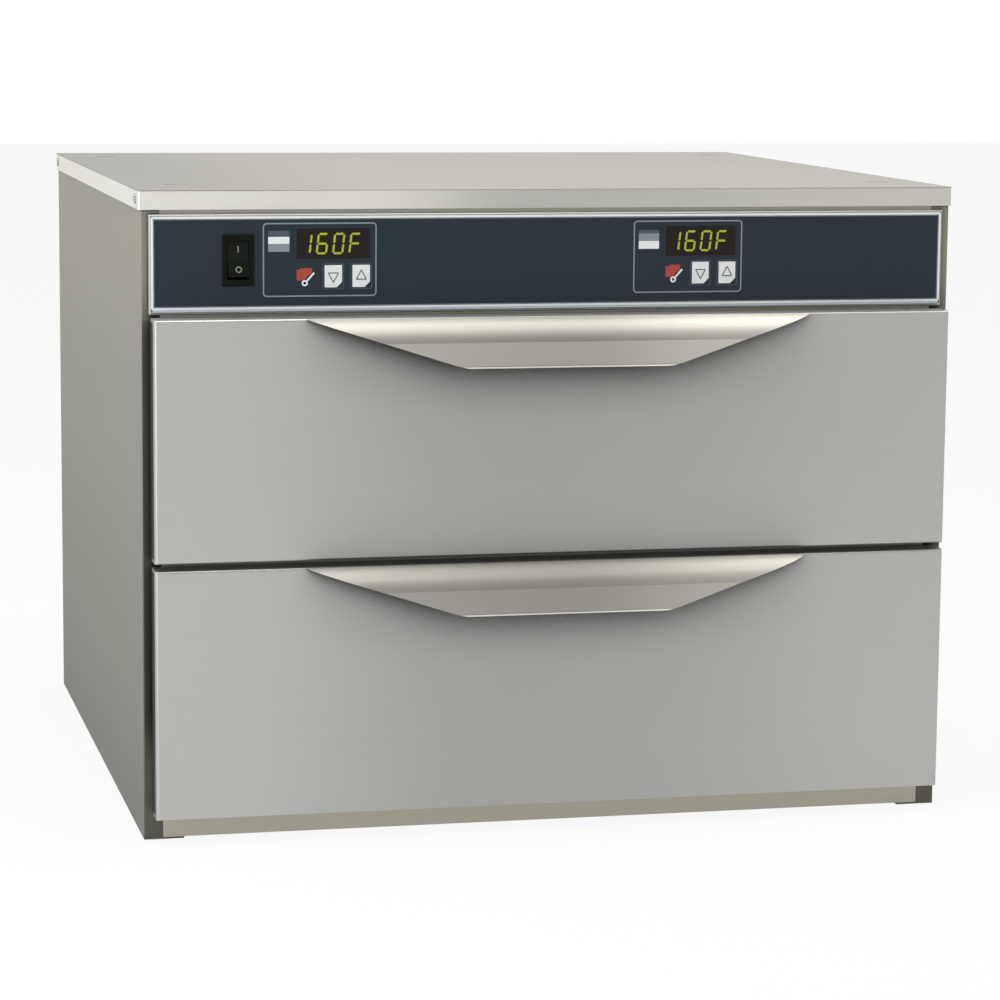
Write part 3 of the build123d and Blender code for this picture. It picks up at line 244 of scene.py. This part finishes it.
def steel(name, colour, roughness, grain="x", contrast=0.035, bump=0.10, metallic=METALLIC,
          painted_light=None, painted_shade_setting=None, painted_edge_light=None, upward=None):
    """Brushed sheet: fine streaks along the grain, soft mottling and a shallow bump, and where given,
    painted light and shade: levels along an axis, by the facing of the surface, on an edge, and from
    ambient occlusion.
    """
    material, tree, shader = new_material(name)
    streak_scale = tuple(GRAIN_LONG if axis == grain else GRAIN_FINE for axis in "xyz")
    streaks = stretched_noise(tree, streak_scale, detail=3.0)
    clouds = stretched_noise(tree, (MOTTLE_SCALE,) * 3, detail=5.0)
    brushed = ramp(tree, streaks, scaled(colour, 1 - contrast), scaled(colour, 1 + contrast))
    tone = multiplied(tree, brushed, ramp(tree, clouds, grey(MOTTLE_LEVEL), WHITE))
    # Painted light and shade along one axis of the part
    if painted_light:
        tone = multiplied(tree, tone, along_axis(tree, *painted_light))
    # Painted light by how far the surface faces upwards
    if upward:
        tone = multiplied(tree, tone, painted_top_light(tree, upward))
    # Painted light on the edge below a height
    if painted_edge_light:
        tone = with_painted_edge_light(tree, tone, *painted_edge_light)
    # Painted shade from ambient occlusion
    if painted_shade_setting:
        tone = multiplied(tree, tone, painted_shade(tree, *painted_shade_setting))
    tree.links.new(tone, shader.inputs["Base Color"])
    low, high = roughness - STEEL_SPREAD, roughness + STEEL_SPREAD
    tree.links.new(spanned(tree, streaks, NOISE_LOW, NOISE_HIGH, low, high), shader.inputs["Roughness"])
    shader.inputs["Metallic"].default_value = metallic
    bumped(tree, shader, streaks, bump, BRUSHING_DEPTH)
    return material


def grained(name, colour, roughness, grain_scale, contrast=0.08, bump=0.15, metallic=0.0, specular=0.5):
    """Moulded plastic, rubber or paint with an even fine grain."""
    material, tree, shader = new_material(name)
    grain = stretched_noise(tree, (grain_scale,) * 3, detail=2.0)
    tone = ramp(tree, grain, scaled(colour, 1 - contrast), scaled(colour, 1 + contrast))
    tree.links.new(tone, shader.inputs["Base Color"])
    low, high = roughness - PLASTIC_SPREAD, roughness + PLASTIC_SPREAD
    tree.links.new(spanned(tree, grain, NOISE_LOW, NOISE_HIGH, low, high), shader.inputs["Roughness"])
    shader.inputs["Metallic"].default_value = metallic
    shader.inputs["Specular IOR Level"].default_value = specular
    bumped(tree, shader, grain, bump, PLASTIC_DEPTH)
    return material


FIBRE_LONG = 60.0
FIBRE_FINE = 500.0
FIBRE_DETAIL = 6.0
FIBRE_DARK = 0.75
FIBRE_LIGHT = 1.15
WOOL_ROUGHNESS = 0.95
WOOL_BUMP = 0.8
WOOL_DEPTH = 0.002


def wool(name, colour):
    """Pressed mineral wool: fibres lying in all directions."""
    material, tree, shader = new_material(name)
    lying = stretched_noise(tree, (FIBRE_LONG, FIBRE_FINE, FIBRE_FINE), FIBRE_DETAIL)
    standing = stretched_noise(tree, (FIBRE_FINE, FIBRE_FINE, FIBRE_LONG), FIBRE_DETAIL)
    fibres = multiplied(tree, ramp(tree, lying, scaled(colour, FIBRE_DARK), scaled(colour, FIBRE_LIGHT)),
                        ramp(tree, standing, grey(FIBRE_DARK), WHITE))
    tree.links.new(fibres, shader.inputs["Base Color"])
    shader.inputs["Roughness"].default_value = WOOL_ROUGHNESS
    bumped(tree, shader, lying, WOOL_BUMP, WOOL_DEPTH)
    return material


GLOW_GRAIN = 400.0
GLOW_DARK = 0.9
GLOW_LIGHT = 1.05
GLOW_ROUGHNESS = 0.5


def glowing(name, colour, strength):
    """Lit plastic with a faint grain."""
    material, tree, shader = new_material(name)
    grain = stretched_noise(tree, (GLOW_GRAIN,) * 3, detail=1.0)
    tone = ramp(tree, grain, scaled(colour, GLOW_DARK), scaled(colour, GLOW_LIGHT))
    tree.links.new(tone, shader.inputs["Base Color"])
    shader.inputs["Roughness"].default_value = GLOW_ROUGHNESS
    shader.inputs["Emission Color"].default_value = colour
    shader.inputs["Emission Strength"].default_value = strength
    return material


# ---------------------------------------------------------------- materials
# Painted light and shade: levels along an axis in metres, and for the cover's painted edge light the
# height under which they hold
# Painted reflection: the drawer fronts lighter at both ends than in the middle
FRONT_PAINTED_LIGHT = ("X", ((-0.30, 1.11), (-0.02, 0.88), (0.30, 1.07)))
# Painted shade: the cover's top darker at the left
COVER_PAINTED_LIGHT = ("X", ((-0.31, 0.72), (-0.08, 0.94), (0.31, 0.93)))
# Painted light: the cover's turned-down front edge much lighter, most at the left
COVER_PAINTED_EDGE_LIGHT = (0.4830, ((-0.31, 2.90), (-0.17, 2.30), (-0.02, 1.42), (0.31, 1.75)))
# Painted shade: the side panels darker towards the bottom
SIDE_PAINTED_SHADE_LOW = ("Z", ((0.0, 0.34), (0.12, 0.55), (0.30, 0.76), (0.46, 0.93)))
# Painted light: the handles lighter at the right end
HANDLE_PAINTED_LIGHT = ("X", ((-0.16, 1.00), (0.0, 0.88), (0.16, 1.34)))
# Painted top light on the handles, levels by the Z of the normal: lighter where they face up, and a
# painted highlight where the hem faces down
HANDLE_PAINTED_TOP_LIGHT = ((0.0, 1.80), (0.09, 1.60), (0.16, 0.64), (0.50, 0.80), (0.74, 0.92), (0.96, 1.50))
# Painted shade from ambient occlusion, darkest level and reach: the painted shadow under the handles on
# the drawer fronts, and the painted shade on the side panels beside the drawers
FRONT_PAINTED_SHADOW = (0.04, 0.055)
SIDE_PAINTED_GAP_SHADE = (0.10, 0.030)

front_steel = steel("front_steel", linear(183, 183, 181), 0.40, contrast=0.018, bump=0.06,
                    painted_light=FRONT_PAINTED_LIGHT, painted_shade_setting=FRONT_PAINTED_SHADOW)
handle_steel = steel("handle_steel", linear(188, 186, 179), 0.55, contrast=0.02, bump=0.06,
                     metallic=0.68, painted_light=HANDLE_PAINTED_LIGHT, upward=HANDLE_PAINTED_TOP_LIGHT)
cover_steel = steel("cover_steel", linear(170, 169, 164), 0.42, contrast=0.02,
                    painted_light=COVER_PAINTED_LIGHT, painted_edge_light=COVER_PAINTED_EDGE_LIGHT)
fascia_steel = steel("fascia_steel", linear(166, 166, 162), 0.42)
side_steel = steel("side_steel", linear(156, 154, 139), 0.45, "z", contrast=0.025,
                   painted_light=SIDE_PAINTED_SHADE_LOW, painted_shade_setting=SIDE_PAINTED_GAP_SHADE)
back_steel = steel("back_steel", linear(152, 151, 140), 0.45, contrast=0.025)
casing_steel = steel("casing_steel", linear(158, 157, 146), 0.45)
rail_steel = steel("rail_steel", linear(182, 178, 163), 0.45)
liner_steel = steel("liner_steel", linear(172, 172, 168), 0.42, "y")
pan_steel = steel("pan_steel", linear(196, 196, 194), 0.32, contrast=0.02)
slide_steel = steel("slide_steel", linear(168, 170, 174), 0.32, "y")
screw_steel = steel("screw_steel", linear(170, 170, 168), 0.25, contrast=0.02)
ball_steel = steel("ball_steel", linear(200, 200, 204), 0.15, contrast=0.01)

# Scales of the grain, per metre
FILM_GRAIN = 1500.0
RUBBER_GRAIN = 1400.0
SWITCH_GRAIN = 1200.0
MOULDED_GRAIN = 1000.0
ALUMINIUM_GRAIN = 900.0
VARNISH_GRAIN = 700.0
LENS_GRAIN = 600.0

overlay_film = grained("overlay_film", linear(13, 32, 44), 0.50, FILM_GRAIN, contrast=0.05, bump=0.05,
                       specular=0.42)
switch_plastic = grained("switch_plastic", linear(3, 9, 2), 0.50, SWITCH_GRAIN, specular=0.14)
rocker_plastic = grained("rocker_plastic", linear(5, 12, 3), 0.42, SWITCH_GRAIN, bump=0.08, specular=0.18)
display_window = grained("display_window", linear(26, 11, 9), 0.16, LENS_GRAIN, bump=0.02, specular=0.25)
lamp_lens = grained("lamp_lens", linear(168, 58, 46), 0.25, LENS_GRAIN, bump=0.03)
key_plastic = grained("key_plastic", linear(232, 234, 236), 0.45, FILM_GRAIN, contrast=0.02, bump=0.05)
black_plastic = grained("black_plastic", linear(40, 40, 40), 0.5, MOULDED_GRAIN)
beige_plastic = grained("beige_plastic", linear(222, 216, 200), 0.5, MOULDED_GRAIN, contrast=0.04)
plug_plastic = grained("plug_plastic", linear(150, 150, 142), 0.45, MOULDED_GRAIN, contrast=0.05)
gasket_rubber = grained("gasket_rubber", linear(128, 126, 116), 0.7, RUBBER_GRAIN)
# Dark colour of the painted shadow strips beside the drawer fronts
painted_gap_shadow = grained("painted_gap_shadow", linear(34, 33, 26), 0.6, RUBBER_GRAIN)
cable_jacket = grained("cable_jacket", linear(196, 96, 78), 0.6, RUBBER_GRAIN)
varnished_iron = grained("varnished_iron", linear(92, 84, 78), 0.4, VARNISH_GRAIN, metallic=0.6)
aluminium = grained("aluminium", linear(206, 208, 212), 0.35, ALUMINIUM_GRAIN, contrast=0.03,
                    metallic=1.0)
glass_wool = wool("glass_wool", linear(226, 212, 160))
digit_glow = glowing("digit_glow", linear(156, 178, 44), 0.10)


def ink(name, colour, contrast=0.03):
    """Matt printing ink."""
    return grained(name, colour, 0.4, FILM_GRAIN, contrast=contrast, bump=0.03)


print_white = ink("print_white", linear(236, 238, 240), contrast=0.02)
# Pale blue of the painted reflection along the overlay's bottom
painted_reflection_pale = ink("painted_reflection_pale", linear(190, 200, 210))
print_grey = ink("print_grey", linear(132, 142, 150))
print_slate = ink("print_slate", linear(64, 80, 94))
print_dark = ink("print_dark", linear(88, 94, 98))
print_red = ink("print_red", linear(172, 62, 50), contrast=0.06)
print_dim = ink("print_dim", linear(128, 132, 118))

# Finish of each node, by its whole name or by what its name ends with
FINISHES = {
    "top_cover": cover_steel,
    "left_side_panel": side_steel,
    "right_side_panel": side_steel,
    "back_panel": back_steel,
    "base_pan": casing_steel,
    "front_frame": casing_steel,
    "bottom_front_rail": rail_steel,
    "component_deck": casing_steel,
    "cover_hole_plugs": plug_plastic,
    "cabinet_screws": screw_steel,
    "side_insulation_pads": glass_wool,
    "level_insulation_pads": glass_wool,
    "rear_insulation_pad": glass_wool,
    "temperature_sensors": slide_steel,
    "limit_thermostats": aluminium,
    "control_fascia": fascia_steel,
    "control_overlay": overlay_film,
    "power_switch_housing": switch_plastic,
    "power_switch_rocker": rocker_plastic,
    "display_windows": display_window,
    "indicator_lenses": lamp_lens,
    "transformer": varnished_iron,
    "terminal_block": beige_plastic,
    "cord_gland": black_plastic,
    "left_controller": black_plastic,
    "right_controller": black_plastic,
    "cavity_liner": liner_steel,
    "heating_cable": cable_jacket,
    "outer_slides": slide_steel,
    "middle_slides": slide_steel,
    "inner_slides": slide_steel,
    "ball_cages": ball_steel,
    "front_shell": front_steel,
    "front_inner_panel": liner_steel,
    "front_insulation": glass_wool,
    "front_gasket": gasket_rubber,
    "handle": handle_steel,
    "pan_carrier": liner_steel,
    "pan": pan_steel,
    "drawer_screws": screw_steel,
    "key": key_plastic,
}


def finish_of(name):
    """The material of a node: by its whole name, or by the longest ending that fits."""
    if name in FINISHES:
        return FINISHES[name]
    endings = [ending for ending in FINISHES if name.endswith("_" + ending)]
    return FINISHES[max(endings, key=len)]


for name, piece in nodes.items():
    for material_slot in piece.material_slots:
        material_slot.material = finish_of(name)


# ---------------------------------------------------------------- outlines, in millimetres of x and z
def rectangle(x0, x1, z0, z1):
    """Four corners."""
    return [(x0, z0), (x1, z0), (x1, z1), (x0, z1)]


def circle(cx, cz, radius, steps=24):
    """A round outline."""
    turns = [2 * math.pi * i / steps for i in range(steps)]
    return [(cx + radius * math.cos(turn), cz + radius * math.sin(turn)) for turn in turns]


def rounded_outline(x0, x1, z0, z1, radius, steps=6):
    """A rectangle with round corners."""
    points = []
    corners = ((x1 - radius, z1 - radius, 0), (x0 + radius, z1 - radius, 90),
               (x0 + radius, z0 + radius, 180), (x1 - radius, z0 + radius, 270))
    for cx, cz, start in corners:
        for i in range(steps + 1):
            angle = math.radians(start + 90 * i / steps)
            points.append((cx + radius * math.cos(angle), cz + radius * math.sin(angle)))
    return points


SMALLEST_RADIUS = 0.05


def frame_outline(x0, x1, z0, z1, radius, width):
    """A frame with round corners, of one width all round."""
    inner_radius = max(radius - width, SMALLEST_RADIUS)
    return {"outer": rounded_outline(x0, x1, z0, z1, radius),
            "inner": rounded_outline(x0 + width, x1 - width, z0 + width, z1 - width, inner_radius)}


def circle_frame(cx, cz, radius, hole):
    """A round frame."""
    return {"outer": circle(cx, cz, radius), "inner": circle(cx, cz, hole)}


def bar(start, end, width):
    """A straight stroke between two points."""
    dx, dz = end[0] - start[0], end[1] - start[1]
    length = math.hypot(dx, dz)
    nx, nz = -dz / length * width / 2, dx / length * width / 2
    return [(start[0] + nx, start[1] + nz), (start[0] - nx, start[1] - nz),
            (end[0] - nx, end[1] - nz), (end[0] + nx, end[1] + nz)]


# ---------------------------------------------------------------- pieces made from outlines
PRINT_THICKNESS = 0.08 * MM


def add_plate(mesh, outline, face, thickness):
    """A flat plate of one closed outline."""
    back = [mesh.verts.new((x * MM, face, z * MM)) for x, z in outline]
    front = [mesh.verts.new((x * MM, face - thickness, z * MM)) for x, z in outline]
    mesh.faces.new(back)
    mesh.faces.new(front[::-1])
    for i in range(len(outline)):
        j = (i + 1) % len(outline)
        mesh.faces.new((back[j], back[i], front[i], front[j]))


def add_ring(mesh, outer, inner, face, thickness):
    """A flat ring between two outlines that have the same number of points."""
    rows = []
    for outline, y in ((outer, face), (outer, face - thickness), (inner, face - thickness), (inner, face)):
        rows.append([mesh.verts.new((x * MM, y, z * MM)) for x, z in outline])
    for k, row in enumerate(rows):
        following = rows[(k + 1) % len(rows)]
        for i in range(len(outer)):
            j = (i + 1) % len(outer)
            mesh.faces.new((row[i], row[j], following[j], following[i]))


def print_piece(name, outlines, face, body, material, thickness=PRINT_THICKNESS, tilt=None):
    """A thin piece of plates and rings that stand off a face towards -Y."""
    mesh = bmesh.new()
    for outline in outlines:
        if isinstance(outline, dict):
            add_ring(mesh, outline["outer"], outline["inner"], face, thickness)
        else:
            add_plate(mesh, outline, face, thickness)
    bmesh.ops.recalc_face_normals(mesh, faces=mesh.faces)
    if tilt:
        bmesh.ops.transform(mesh, matrix=tilt, verts=mesh.verts)
    data = bpy.data.meshes.new(name)
    mesh.to_mesh(data)
    mesh.free()
    piece = bpy.data.objects.new(name, data)
    bpy.context.scene.collection.objects.link(piece)
    data.materials.append(material)
    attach(piece, body)


def box_of(node):
    """The two corners of a node's box."""
    low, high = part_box(node)
    return Vector(low), Vector(high)


OVERLAY_LOW, OVERLAY_HIGH = box_of("control_overlay")
OVERLAY_FACE = OVERLAY_LOW.y


def overlay_print(name, outlines, material, thickness=PRINT_THICKNESS):
    """Print on the control overlay."""
    print_piece(name, outlines, OVERLAY_FACE, "cabinet", material, thickness)


# ---------------------------------------------------------------- edge of the overlay
# Insets from the overlay's edges in millimetres: the sides and the top share one, the bottom has its own
BORDER_INSET = 0.1
BORDER_BOTTOM = 1.9
BORDER_RADIUS = 1.9
BORDER_WIDTH = 1.7
# Insets of the pale band along the bottom, a painted reflection
BAND_INSET = 0.8
BAND_LOW = 0.3
BAND_HIGH = 1.8
LINE_INSET = 2.1
LINE_BOTTOM = 3.9
LINE_RADIUS = 1.0
LINE_WIDTH = 0.5

left_edge, right_edge = OVERLAY_LOW.x / MM, OVERLAY_HIGH.x / MM
low_edge, high_edge = OVERLAY_LOW.z / MM, OVERLAY_HIGH.z / MM
overlay_print("overlay_border",
              [frame_outline(left_edge + BORDER_INSET, right_edge - BORDER_INSET,
                             low_edge + BORDER_BOTTOM, high_edge - BORDER_INSET,
                             BORDER_RADIUS, BORDER_WIDTH)], print_white)
# Pale band along the bottom of the overlay: a painted reflection of the fascia's bent lower edge
overlay_print("overlay_bottom_painted_reflection",
              [rectangle(left_edge + BAND_INSET, right_edge - BAND_INSET,
                         low_edge + BAND_LOW, low_edge + BAND_HIGH)], painted_reflection_pale)
overlay_print("overlay_inner_line",
              [frame_outline(left_edge + LINE_INSET, right_edge - LINE_INSET,
                             low_edge + LINE_BOTTOM, high_edge - LINE_INSET,
                             LINE_RADIUS, LINE_WIDTH)], print_grey)

# ---------------------------------------------------------------- the two control modules
# Heights are the part's own; x is measured from the left edge of the module
CONTROL_Z = 432.45
MODULES = {"left": -221.5, "right": 60.0}
MODULE_WIDTH = 85.0
MODULE_HALF = 27.2
MODULE_RADIUS = 3.0
MODULE_LINE = 1.0

# Bands from the top: the casing, the upper and the lower drawer. The module is for the white one
BAND_LEFT = 4.0
BAND_RIGHT = 19.8
LEVEL_BANDS = {
    "left": ((449.4, 453.8, print_slate), (444.3, 449.4, print_white), (438.5, 444.3, print_grey)),
    "right": ((449.9, 452.6, print_slate), (444.3, 449.9, print_grey), (438.4, 444.3, print_white)),
}

# Seven-segment digits
DIGIT_WIDTH = 8.5
DIGIT_HEIGHT = 15.8
DIGIT_LOW = 436.3
DIGIT_LEAN = 1.8
DIGIT_STROKE = 1.55
DIGIT_GAP = 0.25
DIGIT_CELLS = (27.0, 39.2, 51.4, 63.6)
READING = ("bc", "afedcg", "abcdef", "aefg")

# Heat mark: a red patch and a thermometer
HEAT_PATCH = ((25.2, 425.2), (37.2, 425.2), (30.6, 417.2), (25.2, 417.2))
BULB_X = 31.2
BULB_Z = 415.2
BULB_RADIUS = 2.3
BULB_HOLE = 1.1
STEM_START = (32.9, 416.9)
STEM_END = (38.2, 422.8)
STEM_WIDTH = 1.3

# Keys, and the arrow on each
KEY_LEFTS = {"down": 46.0, "up": 66.9}
KEY_HALF_WIDTH = 6.5
KEY_DROP = 12.3
KEY_RING_HALF_X = 8.0
KEY_RING_HALF_Z = 9.6
KEY_RING_RADIUS = 1.2
KEY_RING_WIDTH = 0.5
ARROW_TIP = 4.6
ARROW_BASE = 2.4
ARROW_HALF_WIDTH = 3.8
ARROW_STROKE = 0.8


def segment_outlines(left, segments):
    """Leaning six-sided segments of one digit."""
    half, gap = DIGIT_STROKE / 2, DIGIT_GAP
    x_low, x_high = half, DIGIT_WIDTH - half
    z_low, z_mid, z_high = half, DIGIT_HEIGHT / 2, DIGIT_HEIGHT - half
    ends = {"a": ((x_low, z_high), (x_high, z_high)), "g": ((x_low, z_mid), (x_high, z_mid)),
            "d": ((x_low, z_low), (x_high, z_low)), "f": ((x_low, z_mid), (x_low, z_high)),
            "b": ((x_high, z_mid), (x_high, z_high)), "e": ((x_low, z_low), (x_low, z_mid)),
            "c": ((x_high, z_low), (x_high, z_mid))}
    out = []
    for segment in segments:
        (ax, az), (bx, bz) = ends[segment]
        if az == bz:
            start, end = ax + gap, bx - gap
            outline = [(start, az), (start + half, az + half), (end - half, az + half), (end, az),
                       (end - half, az - half), (start + half, az - half)]
        else:
            start, end = az + gap, bz - gap
            outline = [(ax, start), (ax + half, start + half), (ax + half, end - half), (ax, end),
                       (ax - half, end - half), (ax - half, start + half)]
        out.append([(left + x + DIGIT_LEAN * z / DIGIT_HEIGHT, DIGIT_LOW + z) for x, z in outline])
    return out


def arrow_outlines(cx, cz, way):
    """Triangle of three strokes that points up (way 1) or down (way -1)."""
    tip = (cx, cz + way * ARROW_TIP)
    base = cz - way * ARROW_BASE
    left, right = (cx - ARROW_HALF_WIDTH, base), (cx + ARROW_HALF_WIDTH, base)
    return [bar(start, end, ARROW_STROKE) for start, end in ((left, right), (left, tip), (right, tip))]


for side, left in MODULES.items():
    module_frame = frame_outline(left, left + MODULE_WIDTH, CONTROL_Z - MODULE_HALF,
                                 CONTROL_Z + MODULE_HALF, MODULE_RADIUS, MODULE_LINE)
    overlay_print(f"{side}_module_outline", [module_frame], print_grey)
    for index, (low, high, material) in enumerate(LEVEL_BANDS[side]):
        overlay_print(f"{side}_level_band_{index}",
                      [rectangle(left + BAND_LEFT, left + BAND_RIGHT, low, high)], material)
    digits = []
    for cell, segments in zip(DIGIT_CELLS, READING):
        digits += segment_outlines(left + cell, segments)
    overlay_print(f"{side}_reading", digits, digit_glow)
    overlay_print(f"{side}_heat_patch", [[(left + x, z) for x, z in HEAT_PATCH]], print_red)
    bulb = circle_frame(left + BULB_X, BULB_Z, BULB_RADIUS, BULB_HOLE)
    stem = bar((left + STEM_START[0], STEM_START[1]), (left + STEM_END[0], STEM_END[1]), STEM_WIDTH)
    overlay_print(f"{side}_thermometer", [bulb, stem], print_white, thickness=2 * PRINT_THICKNESS)
    for which, way in (("down", -1), ("up", 1)):
        node = f"{side}_{which}_key"
        cx = left + KEY_LEFTS[which] + KEY_HALF_WIDTH
        cz = CONTROL_Z - KEY_DROP
        key_ring = frame_outline(cx - KEY_RING_HALF_X, cx + KEY_RING_HALF_X, cz - KEY_RING_HALF_Z,
                                 cz + KEY_RING_HALF_Z, KEY_RING_RADIUS, KEY_RING_WIDTH)
        overlay_print(f"{node}_ring", [key_ring], print_slate)
        key_face = box_of(node)[0].y
        print_piece(f"{node}_mark", arrow_outlines(cx, cz, way), key_face, node, print_dark)

# ---------------------------------------------------------------- marks on the rocker
ROCKER_PIVOT = (-239.8, -280.95, CONTROL_Z)
ROCKER_LEAN = math.radians(-11.0)
FACE_SLOPE = math.atan2(2.0, 13.0)      # each half of the rocker's face slopes out towards its end
MARK_STAND = 4.15                       # from the pivot out to a mark
MARK_RISE = 7.5                         # from the pivot up or down to a mark
ON_HALF_WIDTH = 0.45
ON_HALF_HEIGHT = 2.3
OFF_RADIUS = 2.4
OFF_HOLE = 1.6

on_mark = rectangle(-ON_HALF_WIDTH, ON_HALF_WIDTH, -ON_HALF_HEIGHT, ON_HALF_HEIGHT)
off_mark = circle_frame(0, 0, OFF_RADIUS, OFF_HOLE)
pivot = Matrix.Translation([place * MM for place in ROCKER_PIVOT])
lean = pivot @ Matrix.Rotation(ROCKER_LEAN, 4, "X")
for name, way, mark in (("rocker_on_mark", 1, on_mark), ("rocker_off_mark", -1, off_mark)):
    shift = Matrix.Translation((0, -MARK_STAND * MM, way * MARK_RISE * MM))
    place = lean @ shift @ Matrix.Rotation(FACE_SLOPE * way, 4, "X")
    print_piece(name, [mark], 0.0, "power_rocker", print_dim, tilt=place)

# ---------------------------------------------------------------- painted shadow strips on the drawer fronts
# Dark strip let onto the side walls of each front, from its back towards the viewer: a painted shadow of
# the gap between the front and the cabinet
STRIP_DEPTH = 14.0
STRIP_PROUD = 0.3
STRIP_END = 2.5

for level in ("upper", "lower"):
    low, high = box_of(f"{level}_front_shell")
    strip_z = (low.z / MM + STRIP_END, high.z / MM - STRIP_END)
    sides = [rectangle(high.x / MM, high.x / MM + STRIP_PROUD, *strip_z),
             rectangle(low.x / MM - STRIP_PROUD, low.x / MM, *strip_z)]
    print_piece(f"{level}_side_shadow_strips", sides, high.y, f"{level}_drawer", painted_gap_shadow,
                thickness=STRIP_DEPTH * MM)


# ---------------------------------------------------------------- floor
scene = bpy.context.scene
scene.view_settings.view_transform = "Standard"

FLOOR_HALF = 12.0
FLOOR_COLOUR = grey(0.9)
FLOOR_TO_CAMERA = 1.0
FLOOR_TO_METAL = 0.94
FLOOR_SHARE = 0.9       # how much of the floor's look is its own white, so that the rest keeps the shadow


def floor_material():
    """Lit floor, with a white of its own for what the camera and the metal see."""
    material = bpy.data.materials.new("studio_floor")
    material.use_nodes = True
    tree = material.node_tree
    tree.nodes.clear()
    rays = tree.nodes.new("ShaderNodeLightPath").outputs
    diffuse = tree.nodes.new("ShaderNodeBsdfDiffuse")
    diffuse.inputs["Color"].default_value = FLOOR_COLOUR
    white = tree.nodes.new("ShaderNodeEmission")
    white.inputs["Color"].default_value = WHITE
    strength = maths(tree, "MULTIPLY_ADD", rays["Is Camera Ray"], FLOOR_TO_CAMERA - FLOOR_TO_METAL,
                     FLOOR_TO_METAL)
    tree.links.new(strength, white.inputs["Strength"])
    either = maths(tree, "MAXIMUM", rays["Is Camera Ray"], rays["Is Glossy Ray"])
    seen = maths(tree, "MAXIMUM", either, rays["Is Transmission Ray"])
    share = maths(tree, "MULTIPLY", seen, FLOOR_SHARE)
    output = tree.nodes.new("ShaderNodeOutputMaterial")
    tree.links.new(mixed_shader(tree, share, diffuse.outputs[0], white.outputs[0]),
                   output.inputs["Surface"])
    return material


floor_corners = [(x, z, 0) for x, z in rectangle(-FLOOR_HALF, FLOOR_HALF, -FLOOR_HALF, FLOOR_HALF)]
floor_data = bpy.data.meshes.new("studio_floor")
floor_data.from_pydata(floor_corners, [], [(0, 1, 2, 3)])
floor = bpy.data.objects.new("studio_floor", floor_data)
scene.collection.objects.link(floor)
floor_data.materials.append(floor_material())

# ---------------------------------------------------------------- world
# Level by height, from straight down (0) to straight up (1), before and behind the drawer
FRONT_SKY = ((0.0, 0.55), (0.5, 0.78), (0.62, 0.58), (0.75, 0.26), (0.94, 0.22), (0.985, 0.6), (1.0, 1.1))
BACK_SKY = ((0.0, 0.60), (0.5, 0.95), (0.62, 1.0), (1.0, 1.15))
SKY_TURN = 0.3          # Y of the direction at which the sky is all front (-) or all back (+)
WARMTH = (1.0, 0.985, 0.945)
SKY_LIGHT = 0.55        # strength where the sky lights, against 1 where metal mirrors it


def sky_ramp(tree, height, stops):
    """Warm grey by height."""
    levels = [(place, tuple(level * channel for channel in WARMTH) + (1.0,)) for place, level in stops]
    return stepped(tree, height, levels)


def background(tree, colour, strength):
    """Light from the world."""
    node = tree.nodes.new("ShaderNodeBackground")
    feed(tree, colour, node.inputs["Color"])
    node.inputs["Strength"].default_value = strength
    return node.outputs[0]


def studio_world():
    """White for the camera, and a soft grey sky for everything else."""
    world = bpy.data.worlds.new("studio")
    world.use_nodes = True
    tree = world.node_tree
    tree.nodes.clear()
    rays = tree.nodes.new("ShaderNodeLightPath").outputs
    direction = coordinate(tree, "Generated")
    height = spanned(tree, component(tree, direction, "Z"), -1.0, 1.0)
    behind = spanned(tree, component(tree, direction, "Y"), -SKY_TURN, SKY_TURN)
    sky = mixed(tree, behind, sky_ramp(tree, height, FRONT_SKY), sky_ramp(tree, height, BACK_SKY))
    mirrored = maths(tree, "MAXIMUM", rays["Is Glossy Ray"], rays["Is Transmission Ray"])
    unseen = mixed_shader(tree, mirrored, background(tree, sky, SKY_LIGHT), background(tree, sky, 1.0))
    whole = mixed_shader(tree, rays["Is Camera Ray"], unseen, background(tree, WHITE, 1.0))
    output = tree.nodes.new("ShaderNodeOutputWorld")
    tree.links.new(whole, output.inputs["Surface"])
    return world


scene.world = studio_world()

# ---------------------------------------------------------------- lamps
WARM = (1.0, 0.98, 0.94)
COOL = (0.90, 0.95, 1.0)
MIDDLE = (0.0, 0.0, 0.25)


def lamp(name, place, target, size, power, colour):
    """A rectangular soft lamp at a place, turned to a target."""
    data = bpy.data.lights.new(name, "AREA")
    data.shape = "RECTANGLE"
    data.size, data.size_y = size
    data.energy = power
    data.color = colour
    light = bpy.data.objects.new(name, data)
    light.location = place
    light.rotation_euler = (Vector(target) - Vector(place)).to_track_quat("-Z", "Y").to_euler()
    scene.collection.objects.link(light)


lamp("top_softbox", (-0.1, -0.55, 2.5), MIDDLE, (2.2, 1.4), 42.0, WARM)
lamp("left_softbox", (-1.7, -1.5, 0.7), (-0.2, -0.3, 0.3), (1.0, 1.0), 18.0, COOL)
lamp("right_softbox", (1.6, -2.2, 1.9), MIDDLE, (1.0, 1.0), 3.5, WARM)

# ---------------------------------------------------------------- camera
CAMERA_PLACE = (-0.61162, -2.73916, 0.62077)
YAW = math.radians(-13.07)
PITCH = math.radians(8.36)
ROLL = math.radians(0.49)
LENS = 121.86
SENSOR_WIDTH = 36.0
NEAREST = 0.1
FARTHEST = 60.0

camera_data = bpy.data.cameras.new("photo_camera")
camera_data.lens = LENS
camera_data.sensor_width = SENSOR_WIDTH
camera_data.clip_start = NEAREST
camera_data.clip_end = FARTHEST
camera = bpy.data.objects.new("photo_camera", camera_data)
camera.rotation_mode = "QUATERNION"
turn = (Matrix.Rotation(YAW, 3, "Z") @ Matrix.Rotation(math.pi / 2 - PITCH, 3, "X")
        @ Matrix.Rotation(ROLL, 3, "Z"))
camera.rotation_quaternion = turn.to_quaternion()
camera.location = CAMERA_PLACE
scene.collection.objects.link(camera)
scene.camera = camera
